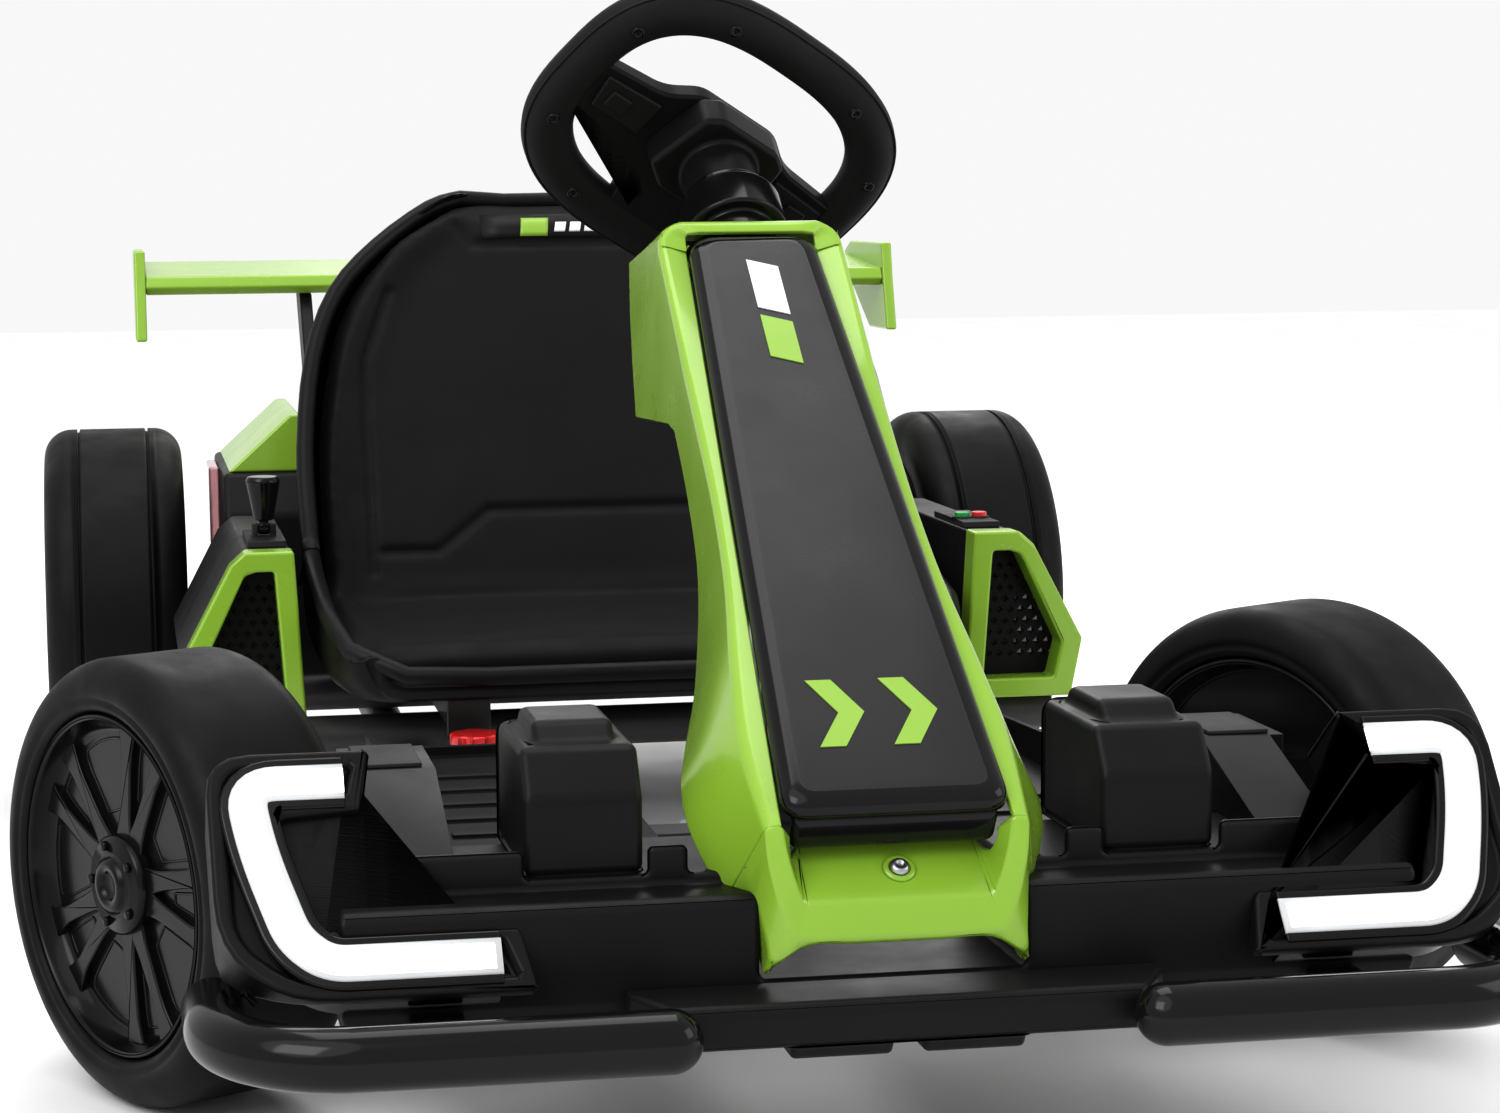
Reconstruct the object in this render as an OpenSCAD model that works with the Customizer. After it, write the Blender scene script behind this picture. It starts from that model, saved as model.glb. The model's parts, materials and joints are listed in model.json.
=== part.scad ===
// Low-slung ride-on kart: front faces -Y, +X is the driver's left, the ground is z = 0.

/* [Overall] */
// Distance between the front and rear axles
wheelbase = 809; // [700:1:950]
// Front axle to the front of the bumper bars
front_reach = 343; // [320:1:400]
// Rear axle to the rear edge of the wing
tail_reach = 258; // [220:1:310]

/* [Wheels] */
// Front tyre radius
front_tyre_r = 115; // [105:1:125]
// Front tyre width
front_tyre_w = 86; // [76:1:92]
// Front rim seat radius, where the tyre sits
front_seat_r = 88; // [82:1:94]
// Rear tyre radius
rear_tyre_r = 141.5; // [130:0.5:155]
// Rear tyre width
rear_tyre_w = 105; // [90:1:120]
// Rear rim seat radius
rear_seat_r = 98; // [90:1:105]
// Rear wheel centre distance from the middle of the kart
rear_wheel_x = 338; // [330:1:360]
// Radius of the wheel spindles
spindle_r = 6; // [5:0.5:8]
// Thickness of a wheel's barrel wall
barrel_wall = 5; // [4:0.5:8]

/* [Steering] */
// Kingpin distance from the middle of the kart
kingpin_x = 271; // [262:1:285]
// Kingpin to wheel centre along the spindle
kingpin_offset = 45; // [44:1:52]
// Kingpin radius
kingpin_r = 5; // [4:0.5:6]
// Length of the steering arms
arm_l = 55; // [45:1:58]
// Road-wheel angle as modelled, turned to the driver's left
steer_now = 29; // [0:1:29]
// Road-wheel angle for each degree of the steering wheel
steer_ratio = 0.8; // [0.6:0.05:1]
// Rise of the steering column above level
column_rise = 38; // [34:1:40]
// Radius of the steering column
column_r = 9; // [7:0.5:10]
// Steering wheel half width
wheel_half_w = 108; // [90:1:115]
// Steering wheel half height
wheel_half_h = 85; // [75:1:92]
// Width of the steering wheel's grip
grip_w = 27; // [22:1:30]
// Depth of the steering wheel's grip
grip_d = 24; // [20:1:28]

/* [Frame and deck] */
// Frame rail distance from the middle of the kart
rail_x = 150; // [120:1:170]
// Radius of the frame tubes
tube_r = 13; // [11:0.5:13]
// Height of the frame rails' centre line
rail_z = 84; // [78:1:92]
// Half width of the bumper deck
deck_half_w = 246; // [235:1:250]
// Height of the front ledge above the deck's underside
deck_h = 55; // [45:1:60]
// Radius of the bumper bars
bar_r = 14; // [11:0.5:15]
// Thickness of the moulded panels
skin = 4; // [3:0.5:5]

/* [Nose] */
// Slope of the nose above level
nose_slope = 38.5; // [37:0.5:40]
// Length of the black nose panel
nose_l = 396; // [380:1:405]
// Half width of the nose panel at its top
nose_top_w = 34; // [30:1:38]
// Half width of the nose panel at its lip
nose_lip_w = 52; // [46:1:56]
// Thickness of the nose panel
nose_panel_t = 9; // [6:0.5:9]

/* [Seat] */
// Front lip of the seat behind the front axle
seat_front = 307; // [295:1:330]
// Half width of the seat
seat_half_w = 210; // [190:1:214]
// Height of the top of the seat back
seat_top_z = 455; // [420:1:480]
// Thickness of the seat shell
seat_wall = 9; // [6:0.5:12]
// Thickness of the seat pad
pad_t = 20; // [14:1:24]

/* [Side pods] */
// Front face of the pods behind the front axle
pod_front = 366; // [360:1:380]
// Length of the pods
pod_l = 240; // [200:1:250]
// Width of the green border of the pods
pod_border = 13; // [10:1:16]
// Depth of the green pod frames
pod_frame_d = 22; // [16:1:28]

/* [Tail] */
// Half width of the rear body
tail_half_w = 258; // [240:1:262]
// Height of the rear body's top
tail_top_z = 258; // [240:1:275]
// Half span of the wing between its end plates
wing_half_span = 308; // [280:1:330]
// Height of the wing's middle
wing_z = 392; // [370:1:410]
// Chord of the wing
wing_chord = 120; // [100:1:140]
// Thickness of the wing
wing_t = 20; // [14:1:24]
// Distance of the wing struts from the middle
strut_x = 178; // [150:1:200]

/* [Clearances] */
// Radial clearance of turning joints
turn_fit = 0.06; // [0.03:0.01:0.09]
// Gap between pieces that slide or move past each other
run_gap = 0.4; // [0.3:0.1:0.6]
// Radial clearance of the loose steering pivots
loose_gap = 0.5; // [0.4:0.1:0.8]

/* [Hidden] */
$fn = 48;

// Places along the kart: the origin is in the middle of the overall box
overall_l = front_reach + wheelbase + tail_reach;
front_axle_y = front_reach - overall_l / 2;
rear_axle_y = front_axle_y + wheelbase;

// Heights that pieces share
rail_top = rail_z + tube_r;
cross_z = rail_top + tube_r;
floor_z = rail_top + 2 * tube_r;
ledge_z = rail_top + deck_h;
bar_z = 102;

// Steering
axle_z = front_tyre_r;
wheel_turn = steer_now / steer_ratio;
arm_t = 6;
arm_z = axle_z - 17.5;
eye_h = 12;
eye_z = arm_z + arm_t + run_gap;
pin_r = 4;
yoke_gap = 25;
yoke_t = 6;
yoke_r = 13;
pitman_z = floor_z + run_gap;
column_joint_z = 389;
column_ball_r = 9;
column_l = 160;
collar_r = 29;

// Nose, from the lip of the panel
lip_y = -292;
lip_z = 193;
green_drop = nose_panel_t;

// Front wheels
hub_r = 17;
hub_inner = -12;
hub_ring_r = 26;
spindle_end = 28;
web_depth = 22;
web_t = 4;
plate_depth = 29;
plate_hole_r = 12;
spoke_relief = 6;
spoke_spread = 12;

// Puts children at the front or rear axle
module at_front() {
    translate([0, front_axle_y, 0]) children();
}

module at_rear() {
    translate([0, rear_axle_y, 0]) children();
}

// Mirrors children to the driver's right when side is -1
module to_side(side) {
    mirror([side < 0 ? 1 : 0, 0, 0]) children();
}

// Extrudes a [y, z] outline along x from x0 to x1
module slab_x(x0, x1, outline) {
    translate([x0, 0, 0])
        rotate([90, 0, 90])
            linear_extrude(height = x1 - x0) polygon(outline);
}

// Extrudes an [x, z] outline along y from y0 to y1
module slab_y(y0, y1, outline) {
    translate([0, y1, 0])
        rotate([90, 0, 0])
            linear_extrude(height = y1 - y0) polygon(outline);
}

// Box from two opposite corners
module box(a, b) {
    translate(a) cube(b - a);
}

// Solid skinned over rings with equal numbers of points
module loft(rings, closed = false) {
    n = len(rings[0]);
    m = len(rings);
    last = closed ? m - 1 : m - 2;
    points = [for (ring = rings) for (p = ring) p];
    sides = [for (i = [0:last]) for (j = [0:n - 1])
        [i * n + j, i * n + (j + 1) % n, (i + 1) % m * n + (j + 1) % n, (i + 1) % m * n + j]];
    first_cap = [for (j = [n - 1:-1:0]) j];
    last_cap = [for (j = [0:n - 1]) (m - 1) * n + j];
    polyhedron(points, closed ? sides : concat(sides, [first_cap, last_cap]), convexity = 8);
}

// Outline of [x, y, radius] corners, each turned into a short curve
function rounded(corners) =
    let (n = len(corners))
    [for (i = [0:n - 1])
        let (p = corners[i], before = corners[(i + n - 1) % n], after = corners[(i + 1) % n])
        let (a = step_to(p, before), b = step_to(p, after))
        for (t = [0:0.25:1]) (1 - t) * (1 - t) * a + 2 * t * (1 - t) * [p[0], p[1]] + t * t * b];

// Point a corner's radius away from it, towards q
function step_to(p, q) =
    let (d = [q[0] - p[0], q[1] - p[1]])
    [p[0], p[1]] + d / norm(d) * min(p[2], norm(d) * 0.45);

// Value on a table of [place, value] pairs
function at(table, t) = lookup(t, table);

// --- Frame ---

rail_start = -236;
rail_end = wheelbase + 60;

module frame_rail(side) {
    color("dimgray") at_front() to_side(side)
        translate([rail_x, rail_start, rail_z])
            rotate([-90, 0, 0]) cylinder(r = tube_r, h = rail_end - rail_start);
}

cross_half = 285;
cross_seat_y = pod_front + 28;
cross_mid_y = pod_front + pod_l - 34;

module cross_tube(y, half) {
    translate([-half, y, cross_z])
        rotate([0, 90, 0]) cylinder(r = tube_r, h = 2 * half);
}

module frame_cross_tubes() {
    color("silver") at_front() {
        cross_tube(cross_seat_y, cross_half);
        cross_tube(cross_mid_y, cross_half);
    }
}

beam_half = kingpin_x - yoke_gap + yoke_t;

module front_yoke() {
    top = axle_z + yoke_gap;
    bottom = axle_z - yoke_gap - yoke_t;
    box([kingpin_x - yoke_gap, -yoke_r, bottom],
        [kingpin_x - yoke_gap + yoke_t, yoke_r, top + yoke_t]);
    for (z = [bottom, top]) {
        translate([kingpin_x, 0, z]) cylinder(r = yoke_r, h = yoke_t);
        box([kingpin_x - yoke_gap, -yoke_r, z], [kingpin_x, yoke_r, z + yoke_t]);
    }
    translate([kingpin_x, 0, bottom - 2]) cylinder(r = kingpin_r, h = 2 * (yoke_gap + yoke_t + 2));
}

module front_axle_beam() {
    color("dimgray") at_front() difference() {
        union() {
            box([-beam_half, -tube_r, rail_top], [beam_half, tube_r, floor_z]);
            front_yoke();
            mirror([1, 0, 0]) front_yoke();
        }
        translate([0, 0, rail_top - 1]) cylinder(r = spindle_r + turn_fit, h = 2 * tube_r + 2);
    }
}

// --- Front deck ---

deck_front = -282;
deck_back = -172;
rib_y = -254;
rib_z = 170;
toe_floor_z = ledge_z + 5;
nose_gap_w = 61;

module bumper_deck() {
    color("black") at_front() {
        difference() {
            slab_x(-deck_half_w, deck_half_w, [
                [deck_front + 6, rail_top], [deck_front, rail_top + 8], [deck_front, ledge_z - 4],
                [deck_front + 4, ledge_z], [rib_y, ledge_z], [rib_y, toe_floor_z],
                [deck_back, toe_floor_z], [deck_back, rail_top]
            ]);
            // The chin of the nose sits in the middle
            box([-nose_gap_w, deck_front - 1, rail_top + 17], [nose_gap_w, deck_back + 1, rib_z]);
        }
        for (side = [-1, 1]) to_side(side)
            box([88, rib_y, toe_floor_z], [toe_x - toe_half_w - 1, rib_y + skin, rib_z]);
        for (side = [-1, 1]) to_side(side)
            box([toe_x + toe_half_w + 1, rib_y, toe_floor_z], [220, rib_y + skin, rib_z]);
    }
}

splitter_half = 122;
splitter_front = 2 * bar_r - front_reach + run_gap;
splitter_top = 113;
splitter_bottom = 91;

module splitter() {
    color("black") at_front() {
        difference() {
            slab_x(-splitter_half, splitter_half, [
                [splitter_front, splitter_bottom + 4], [splitter_front, splitter_top - 6],
                [deck_front - 30, splitter_top - 2], [deck_front - 14, splitter_top],
                [deck_front, splitter_top], [deck_front, splitter_bottom],
                [deck_front - 30, splitter_bottom]
            ]);
            for (side = [-1, 1]) to_side(side)
                translate([splitter_half, splitter_front, splitter_bottom - 1])
                    linear_extrude(height = splitter_top - splitter_bottom + 2)
                        polygon([[-18, -2], [2, -2], [2, 26]]);
        }
        for (x = [-30, 30])
            slab_x(x - 23, x + 23, [
                [deck_front - 28, splitter_bottom], [deck_front - 24, splitter_bottom - 7],
                [deck_front - 4, splitter_bottom - 7], [deck_front, splitter_bottom]
            ]);
    }
}

bar_y = bar_r - front_reach;
bar_inner = 110;
bar_bend = 58;
bar_outer = 314 - bar_r;
bar_tail = 34;
bar_mid_x = 205;

module bumper_bar(side) {
    color("black") at_front() to_side(side) {
        translate([bar_inner, bar_y, bar_z]) {
            sphere(r = bar_r);
            rotate([0, 90, 0]) cylinder(r = bar_r, h = bar_outer - bar_bend - bar_inner);
        }
        translate([bar_outer - bar_bend, bar_y + bar_bend, bar_z]) {
            rotate([0, 0, -90])
                rotate_extrude(angle = 90) translate([bar_bend, 0]) circle(r = bar_r);
            translate([bar_bend, 0, 0]) {
                rotate([-90, 0, 0]) cylinder(r = bar_r, h = bar_tail);
                translate([0, bar_tail, 0]) sphere(r = bar_r);
            }
        }
        // Bracket back to the deck
        box([bar_mid_x - 12, bar_y, bar_z - 4], [bar_mid_x + 12, deck_front, bar_z + 4]);
    }
}

// --- Headlights ---

// The lamp face leans back; u runs outwards and v up the face, from the lower front edge
lamp_y = -295;
lamp_z = 125;
lamp_lean = 38.7;
lamp_h = 105;
lamp_stroke = 17;
lamp_border = 8;
lamp_depth = 42;
lens_t = 5;

// C outline of the lamp, grown by g on every side; the third value is each corner's radius
function lamp_corners(g) = [
    [170 - g, -g, 2], [264 + g * 0.7, -g, 14 + g], [291 + g, 22 - g * 0.3, 14 + g],
    [293 + g, lamp_h + g, 12 + g], [236 - g, lamp_h + g, 2],
    [240 - g * 0.8, lamp_h - lamp_stroke + 3 - g, 2], [276 - g, lamp_h - lamp_stroke - g, 5 - g / 2],
    [276 - g, 34 + g * 0.6, 9 - g / 2], [258 - g * 0.5, lamp_stroke + g, 9 - g / 2], [176 - g, lamp_stroke + g, 2]
];

function lamp_outline(g) = rounded(lamp_corners(g));

module on_lamp_face() {
    translate([0, lamp_y, lamp_z]) rotate([90 - lamp_lean, 0, 0]) children();
}

module headlight_housing(side) {
    color("black") at_front() to_side(side) difference() {
        intersection() {
            union() {
                on_lamp_face() translate([0, 0, -lamp_depth])
                    linear_extrude(height = lamp_depth + 2) polygon(lamp_outline(lamp_border));
                // Body that carries the lamp on the deck's end
                slab_x(deck_half_w, 286, [
                    [lamp_y + 12, rail_top + 8], [lamp_y + 30, 140], [lamp_y + 86, 196],
                    [-168, 196], [-176, rail_top + 8]
                ]);
            }
            box([100, -360, bar_z + bar_r + run_gap], [303, -168, 260]);
        }
        on_lamp_face() translate([0, 0, 2 - lens_t])
            linear_extrude(height = lens_t + 1) polygon(lamp_outline(run_gap));
        // Seat on the deck and its rib
        box([90, deck_front - run_gap, rail_top - 1], [deck_half_w, deck_back + 4, ledge_z + run_gap]);
        box([90, rib_y - run_gap, rail_top - 1], [deck_half_w, deck_back + 4, rib_z + run_gap]);
    }
}

module headlight_lens(side) {
    color("white") at_front() to_side(side)
        on_lamp_face() translate([0, 0, 2 - lens_t])
            linear_extrude(height = lens_t + 1) polygon(lamp_outline(0));
}

// --- Footwells ---

toe_x = 134;
toe_half_w = 27;
toe_front = -248;
toe_back = -158;
cap_half_w = 19;
toe_wall = 3;

function toe_profile(g, top_g) = [
    [toe_front + g, toe_floor_z - top_g], [toe_front + g, 192 - g * 0.4], [toe_front + 15 + g * 0.6, 213 - g],
    [toe_back + top_g, 213 - g], [toe_back + top_g, toe_floor_z - top_g]
];

module toe_box(side) {
    color("black") at_front() to_side(side) difference() {
        union() {
            slab_x(toe_x - toe_half_w, toe_x + toe_half_w, toe_profile(0, 0));
            slab_x(toe_x - cap_half_w, toe_x + cap_half_w, [
                [toe_front + 22, 212], [toe_front + 34, 222], [toe_back - 14, 222], [toe_back - 4, 212]
            ]);
        }
        slab_x(toe_x - toe_half_w + toe_wall, toe_x + toe_half_w - toe_wall, toe_profile(toe_wall, 1));
    }
}

tray_inner = 62;
tray_outer = 190;
tray_back = 217;
step_outer = 233;
slope_outer = 226;
step_z = 190;
step_front = -152;
step_back = -90;

pedal_y = -146;
pedal_z = floor_z + skin + 10;
pedal_w = 40;
pedal_pin_r = 3;
pedal_ear_t = 5;

module foot_tray(side) {
    color("black") at_front() to_side(side) {
        if (side < 0) difference() {
            // Ears that carry the pedal's pin
            for (k = [-1, 1]) translate([toe_x + k * (pedal_w + pedal_ear_t) / 2, pedal_y, 0])
                box([-pedal_ear_t / 2, -7, floor_z], [pedal_ear_t / 2, 7, pedal_z + 7]);
            translate([toe_x, pedal_y, pedal_z])
                rotate([0, 90, 0]) cylinder(r = pedal_pin_r + turn_fit, h = pedal_w * 2, center = true);
        }
        box([tray_inner, deck_back, floor_z], [tray_outer, tray_back, floor_z + skin]);
        box([tray_inner, tray_back - skin, floor_z], [tray_outer, tray_back, floor_z + 10]);
        for (i = [0:5])
            box([84, -60 + 40 * i, floor_z], [168, -52 + 40 * i, floor_z + skin + 2]);
        // Side wall, low beside the wheel and rising to the step
        slab_x(tray_outer, tray_outer + skin, [
            [deck_back, floor_z], [deck_back, step_z - 22], [step_front, step_z], [step_back, step_z],
            [step_back + 14, 156], [tray_back, 142], [tray_back, floor_z]
        ]);
        // Shelf that carries the textured step
        box([tray_outer, step_front, step_z - 9], [step_outer, step_back, step_z]);
        // Slope from the deck up to the shelf
        slab_x(tray_outer, slope_outer, [
            [rib_y + 6 + skin, toe_floor_z], [step_front, step_z], [step_front, step_z - 9],
            [deck_back + 6, 166], [deck_back + 1, toe_floor_z]
        ]);
    }
}

module step_pads() {
    color("dimgray") at_front() for (side = [-1, 1]) to_side(side)
        box([tray_outer + 6, step_front + 5, step_z], [step_outer - 6, step_back - 5, step_z + 2]);
}

// --- Nose ---

// [y, z] of a point t up the slope and n square to it
function nose_yz(t, n) = [
    lip_y + t * cos(nose_slope) - n * sin(nose_slope),
    lip_z + t * sin(nose_slope) + n * cos(nose_slope)
];

// Local frame on the nose: y runs up the slope from the lip, z is square to it
module on_nose() {
    translate([0, lip_y, lip_z]) rotate([nose_slope, 0, 0]) children();
}

// Half width of the panel along the slope
function panel_w(t) = nose_lip_w + (nose_top_w - nose_lip_w) * t / nose_l;

// Half widths of the green shoulders and of the skirt's lower edge, and the skirt's depth
shoulder_w = [[-30, 56], [12, 61], [60, 61], [100, 58], [150, 53], [200, 50], [306, 49]];
skirt_w = [[-30, 60], [12, 82], [60, 83], [100, 73], [150, 59], [200, 52], [306, 50]];
skirt_drop = [[-30, 62], [12, 45], [60, 48], [100, 66], [150, 76], [200, 52], [306, 44]];

// Cross-section of the green channel at t along the slope
function nose_ring(t) =
    let (w1 = at(shoulder_w, t), w2 = at(skirt_w, t), top = -green_drop, low = top - at(skirt_drop, t))
    let (pw = panel_w(t))
    let (half = [[w2, low], [w1, top - 9], [w1 - 3, top - 2], [pw + 1, top]])
    let (inner = [
        [pw - 3, top - skin], [w1 - skin - 2, top - skin - 3], [w1 - skin, top - 11], [w2 - skin, low]
    ])
    let (shell = concat(
        half, [for (i = [3:-1:0]) [-half[i][0], half[i][1]]],
        [for (i = [3:-1:0]) [-inner[i][0], inner[i][1]]], inner))
    [for (p = shell) [p[0], t, p[1]]];

chin_w = 58;
base_w = 47;
base_bottom = 171;
head_w = 50;

// The head of the nose: its sides run back under the steering wheel
head_outer = [
    nose_yz(294, -green_drop), nose_yz(nose_l + run_gap, -green_drop), nose_yz(nose_l + run_gap, 0),
    nose_yz(nose_l + 8, 1), [82, 435], [122, 421], [94, 336], [-22, 340]
];
head_inner = [
    [-50, 366], [12, 416], [20, 432], [26, 438], [82, 430], [117, 417], [88, 325], [-16, 325]
];

module nose_frame() {
    color("yellowgreen") at_front() difference() {
        union() {
            on_nose() loft([for (t = [-30, -8, 12, 36, 60, 80, 100, 125, 150, 175, 200, 250, 306]) nose_ring(t)]);
            // Apron under the lip, down over the front of the deck
            slab_x(-chin_w, chin_w, [
                [-288, 119], [-296, 134], [-290, 150], [-264, base_bottom], [-250, base_bottom], [-250, 119]
            ]);
            difference() {
                slab_x(-head_w, head_w, head_outer);
                slab_x(-head_w + skin, head_w - skin, head_inner);
            }
        }
        // Room for the deck, the dark base and the column
        for (side = [-1, 1]) to_side(side)
            box([nose_gap_w - 0.5, deck_front - 20, 100], [200, -150, toe_floor_z + 0.6]);
        box([-200, -400, 100], [200, -292, 250]);
        box([-base_w - run_gap, -400, base_bottom], [base_w + run_gap, -275, 206]);
        slab_x(-base_w - run_gap, base_w + run_gap, base_outline(run_gap));
        box([-base_w, -256, rail_top], [base_w, -200, base_bottom - 6]);
        on_column() translate([0, 0, collar_from - 2]) cylinder(r = collar_r + run_gap, h = 90);
    }
}

module nose_panel() {
    color("black") at_front() on_nose() translate([0, 0, -nose_panel_t])
        loft([for (level = [[0, 0], [nose_panel_t - 3, 0], [nose_panel_t - 1, -1], [nose_panel_t, -3]])
            panel_ring(level[0], level[1])]);
}

corner = 9;

// Outline of the panel at height z, grown by g
function panel_ring(z, g) = concat(
    [for (a = [-90:18:0]) [nose_lip_w + g - corner + corner * cos(a), corner - g + corner * sin(a), z]],
    [for (a = [0:18:90])
        [nose_top_w + g - corner + corner * cos(a), nose_l + g - corner + corner * sin(a), z]],
    [for (a = [90:18:180])
        [-nose_top_w - g + corner + corner * cos(a), nose_l + g - corner + corner * sin(a), z]],
    [for (a = [180:18:270])
        [-nose_lip_w - g + corner + corner * cos(a), corner - g + corner * sin(a), z]]
);

// Side outline of the dark base under the lip, grown by g
function base_outline(g) = [
    [-278 - g, base_bottom], [-282 - g, 178], [-290 - g, 192], [-290, 260],
    [-225 + g, 260], [-225 + g, base_bottom]
];

module nose_base() {
    color("black") at_front() intersection() {
        slab_x(-base_w, base_w, base_outline(0));
        on_nose() box([-100, -60, -120], [100, 200, -nose_panel_t]);
    }
}

// --- Column collar ---

// Local frame on the column: z runs up the column from its lower joint
module on_column() {
    translate([0, 0, column_joint_z]) rotate([column_rise - 90, 0, 0]) children();
}

collar_from = 52;
collar_to = 104;

module column_collar() {
    color("black") at_front() on_column() difference() {
        union() {
            translate([0, 0, collar_from]) cylinder(r = 22, h = 20);
            translate([0, 0, collar_from + 20]) cylinder(r = collar_r, h = collar_to - collar_from - 26);
            translate([0, 0, collar_to - 6]) cylinder(r = 26, h = 6);
        }
        translate([0, 0, collar_from - 1]) cylinder(r = column_r + turn_fit, h = collar_to - collar_from + 2);
    }
}

// --- Seat ---

pan_z = 152;
back_foot = 548;

// Centre line of the seat: [distance behind the front axle, height, tilt, half width, side height]
seat_line = [
    [seat_front, pan_z + 2, 4, seat_half_w - 26, 14],
    [seat_front + 12, pan_z, 2, seat_half_w - 12, 26],
    [seat_front + 50, pan_z - 2, 0, seat_half_w - 2, 44],
    [seat_front + 130, pan_z - 2, 0, seat_half_w, 58],
    [back_foot - 46, pan_z, 6, seat_half_w, 70],
    [back_foot - 18, pan_z + 8, 30, seat_half_w, 76],
    [back_foot, pan_z + 26, 55, seat_half_w, 74],
    [back_foot + 12, pan_z + 55, 68, seat_half_w, 66],
    [back_foot + 36, pan_z + 115, 69, seat_half_w, 54],
    [back_foot + 63, pan_z + 180, 69, seat_half_w - 9, 44],
    [back_foot + 82, pan_z + 228, 69, seat_half_w - 28, 34],
    [back_foot + 96, pan_z + 264, 69, seat_half_w - 60, 24],
    [back_foot + 108, seat_top_z - 9, 69, seat_half_w - 100, 14],
    [back_foot + 112, seat_top_z, 69, seat_half_w - 124, 8]
];

// Cross-section of the shell: a flat pan with rounded, raised sides
function shell_ring(s) =
    let (w = s[3], h = s[4], t = seat_wall, r = min(26, w * 0.3))
    let (outer = [for (a = [0:22.5:90]) [w - r + r * sin(a), -t + r - r * cos(a)]])
    let (inner = [for (a = [90:-22.5:0]) [w - r + (r - t) * sin(a), -t + r - (r - t) * cos(a)]])
    let (half = concat(outer, [[w, max(h, r - t + 1)], [w - t, max(h, r - t + 1)]], inner))
    let (full = concat(half, [for (i = [len(half) - 1:-1:0]) [-half[i][0], half[i][1]]]))
    [for (p = full) [p[0], s[0] - p[1] * sin(s[2]), s[1] + p[1] * cos(s[2])]];

module seat_shell() {
    color("black") at_front() loft([for (s = seat_line) shell_ring(s)]);
}

pad_gap = 0.6;

// Cross-section of the pad, inside the shell
function pad_ring(s) =
    let (w = s[3] - seat_wall - pad_gap, lift = pad_gap, r = min(18, w * 0.3), t = min(pad_t, s[4] + 4))
    let (low = [for (a = [0:30:90]) [w - r + r * sin(a), lift + r - r * cos(a)]])
    let (half = concat(low, [[w, max(t, lift + r + 1)], [w - 12, max(t, lift + r + 1)]]))
    let (full = concat(half, [for (i = [len(half) - 1:-1:0]) [-half[i][0], half[i][1]]]))
    [for (p = full) [p[0], s[0] - p[1] * sin(s[2]), s[1] + p[1] * cos(s[2])]];

module seat_pad() {
    color("dimgray") at_front() loft([for (i = [2:len(seat_line) - 2]) pad_ring(seat_line[i])]);
}

mount_x = 118;

knob_y = seat_front - 10;
knob_r = 17;
knob_h = 8;
knob_stem_r = 4;
tab_z = 112;
tab_t = 5;

// Runners under the seat; the right one has a tab for the clamp knob
module seat_mount() {
    top = pan_z - 2 - seat_wall - run_gap;
    front = cross_seat_y - 60;
    color("dimgray") at_front() {
        for (side = [-1, 1]) to_side(side)
            box([mount_x - 14, front, floor_z], [mount_x + 14, cross_mid_y - 60, top]);
        difference() {
            union() {
                box([-mount_x - 14, knob_y - 14, tab_z], [-mount_x + 14, front + 6, tab_z + tab_t]);
                box([-mount_x - 14, front, tab_z], [-mount_x + 14, front + 6, top]);
            }
            translate([-mount_x, knob_y, tab_z - 1]) cylinder(r = knob_stem_r + turn_fit, h = tab_t + 2);
        }
    }
}

module seat_knob() {
    color("red") at_front() translate([-mount_x, knob_y, tab_z + tab_t + run_gap]) {
        difference() {
            cylinder(r = knob_r, h = knob_h);
            for (i = [0:5]) rotate([0, 0, 60 * i])
                translate([knob_r + 3, 0, -1]) cylinder(r = 5, h = knob_h + 2);
        }
        translate([0, 0, -tab_t - run_gap - 2]) cylinder(r = knob_stem_r, h = tab_t + run_gap + 3);
    }
}

// --- Side pods ---

pod_in = 219;

pod_top = 235;

// Outline of a pod, shrunk by g at its sides and top and by foot at its underside
function pod_outline(g, foot) = [
    [pod_in + g, floor_z + foot], [292 - g * 0.9, floor_z + foot], [300 - g * 1.1, 162 - g * 0.2],
    [266 - g * 0.7, 226 - g * 0.5], [256 - g * 0.5, pod_top - g], [pod_in + 6 + g, pod_top - g]
];

module pod_frame(side) {
    color("yellowgreen") at_front() to_side(side) {
        difference() {
            slab_y(pod_front, pod_front + pod_frame_d, pod_outline(0, 0));
            slab_y(pod_front - 1, pod_front + pod_frame_d + 1, pod_outline(pod_border, pod_border));
        }
    }
}

pod_wall = 4;

module pod_body(side) {
    start = pod_front + pod_frame_d;
    color("black") at_front() to_side(side) difference() {
        slab_y(start, pod_front + pod_l, pod_outline(1, 0));
        slab_y(start + pod_wall, pod_front + pod_l - pod_wall, pod_outline(1 + pod_wall, pod_wall));
    }
}

panel_t = 4;
panel_y = pod_front + pod_frame_d + 52;
panel_l = 76;
panel_in = 228;
panel_out = 253;
panel_x = (panel_in + panel_out) / 2;
panel_top = pod_top - 1 + panel_t;

module pod_panel() {
    box([panel_in, panel_y - panel_l / 2, pod_top - 1], [panel_out, panel_y + panel_l / 2, panel_top]);
}

lever_pin_r = 2;
lever_ear_t = 4;
lever_w = 7;
lever_pin_z = panel_top + 4;

module lever_panel() {
    color("dimgray") at_front() mirror([1, 0, 0]) {
        pod_panel();
        // Ears that carry the lever's pin
        for (k = [-1, 1]) translate([panel_x + k * (lever_w / 2 + run_gap + lever_ear_t / 2), panel_y, 0])
            box([-lever_ear_t / 2, -5, panel_top - 1], [lever_ear_t / 2, 5, lever_pin_z + 4]);
        translate([panel_x - lever_w, panel_y, lever_pin_z])
            rotate([0, 90, 0]) cylinder(r = lever_pin_r, h = 2 * lever_w);
    }
}

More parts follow.
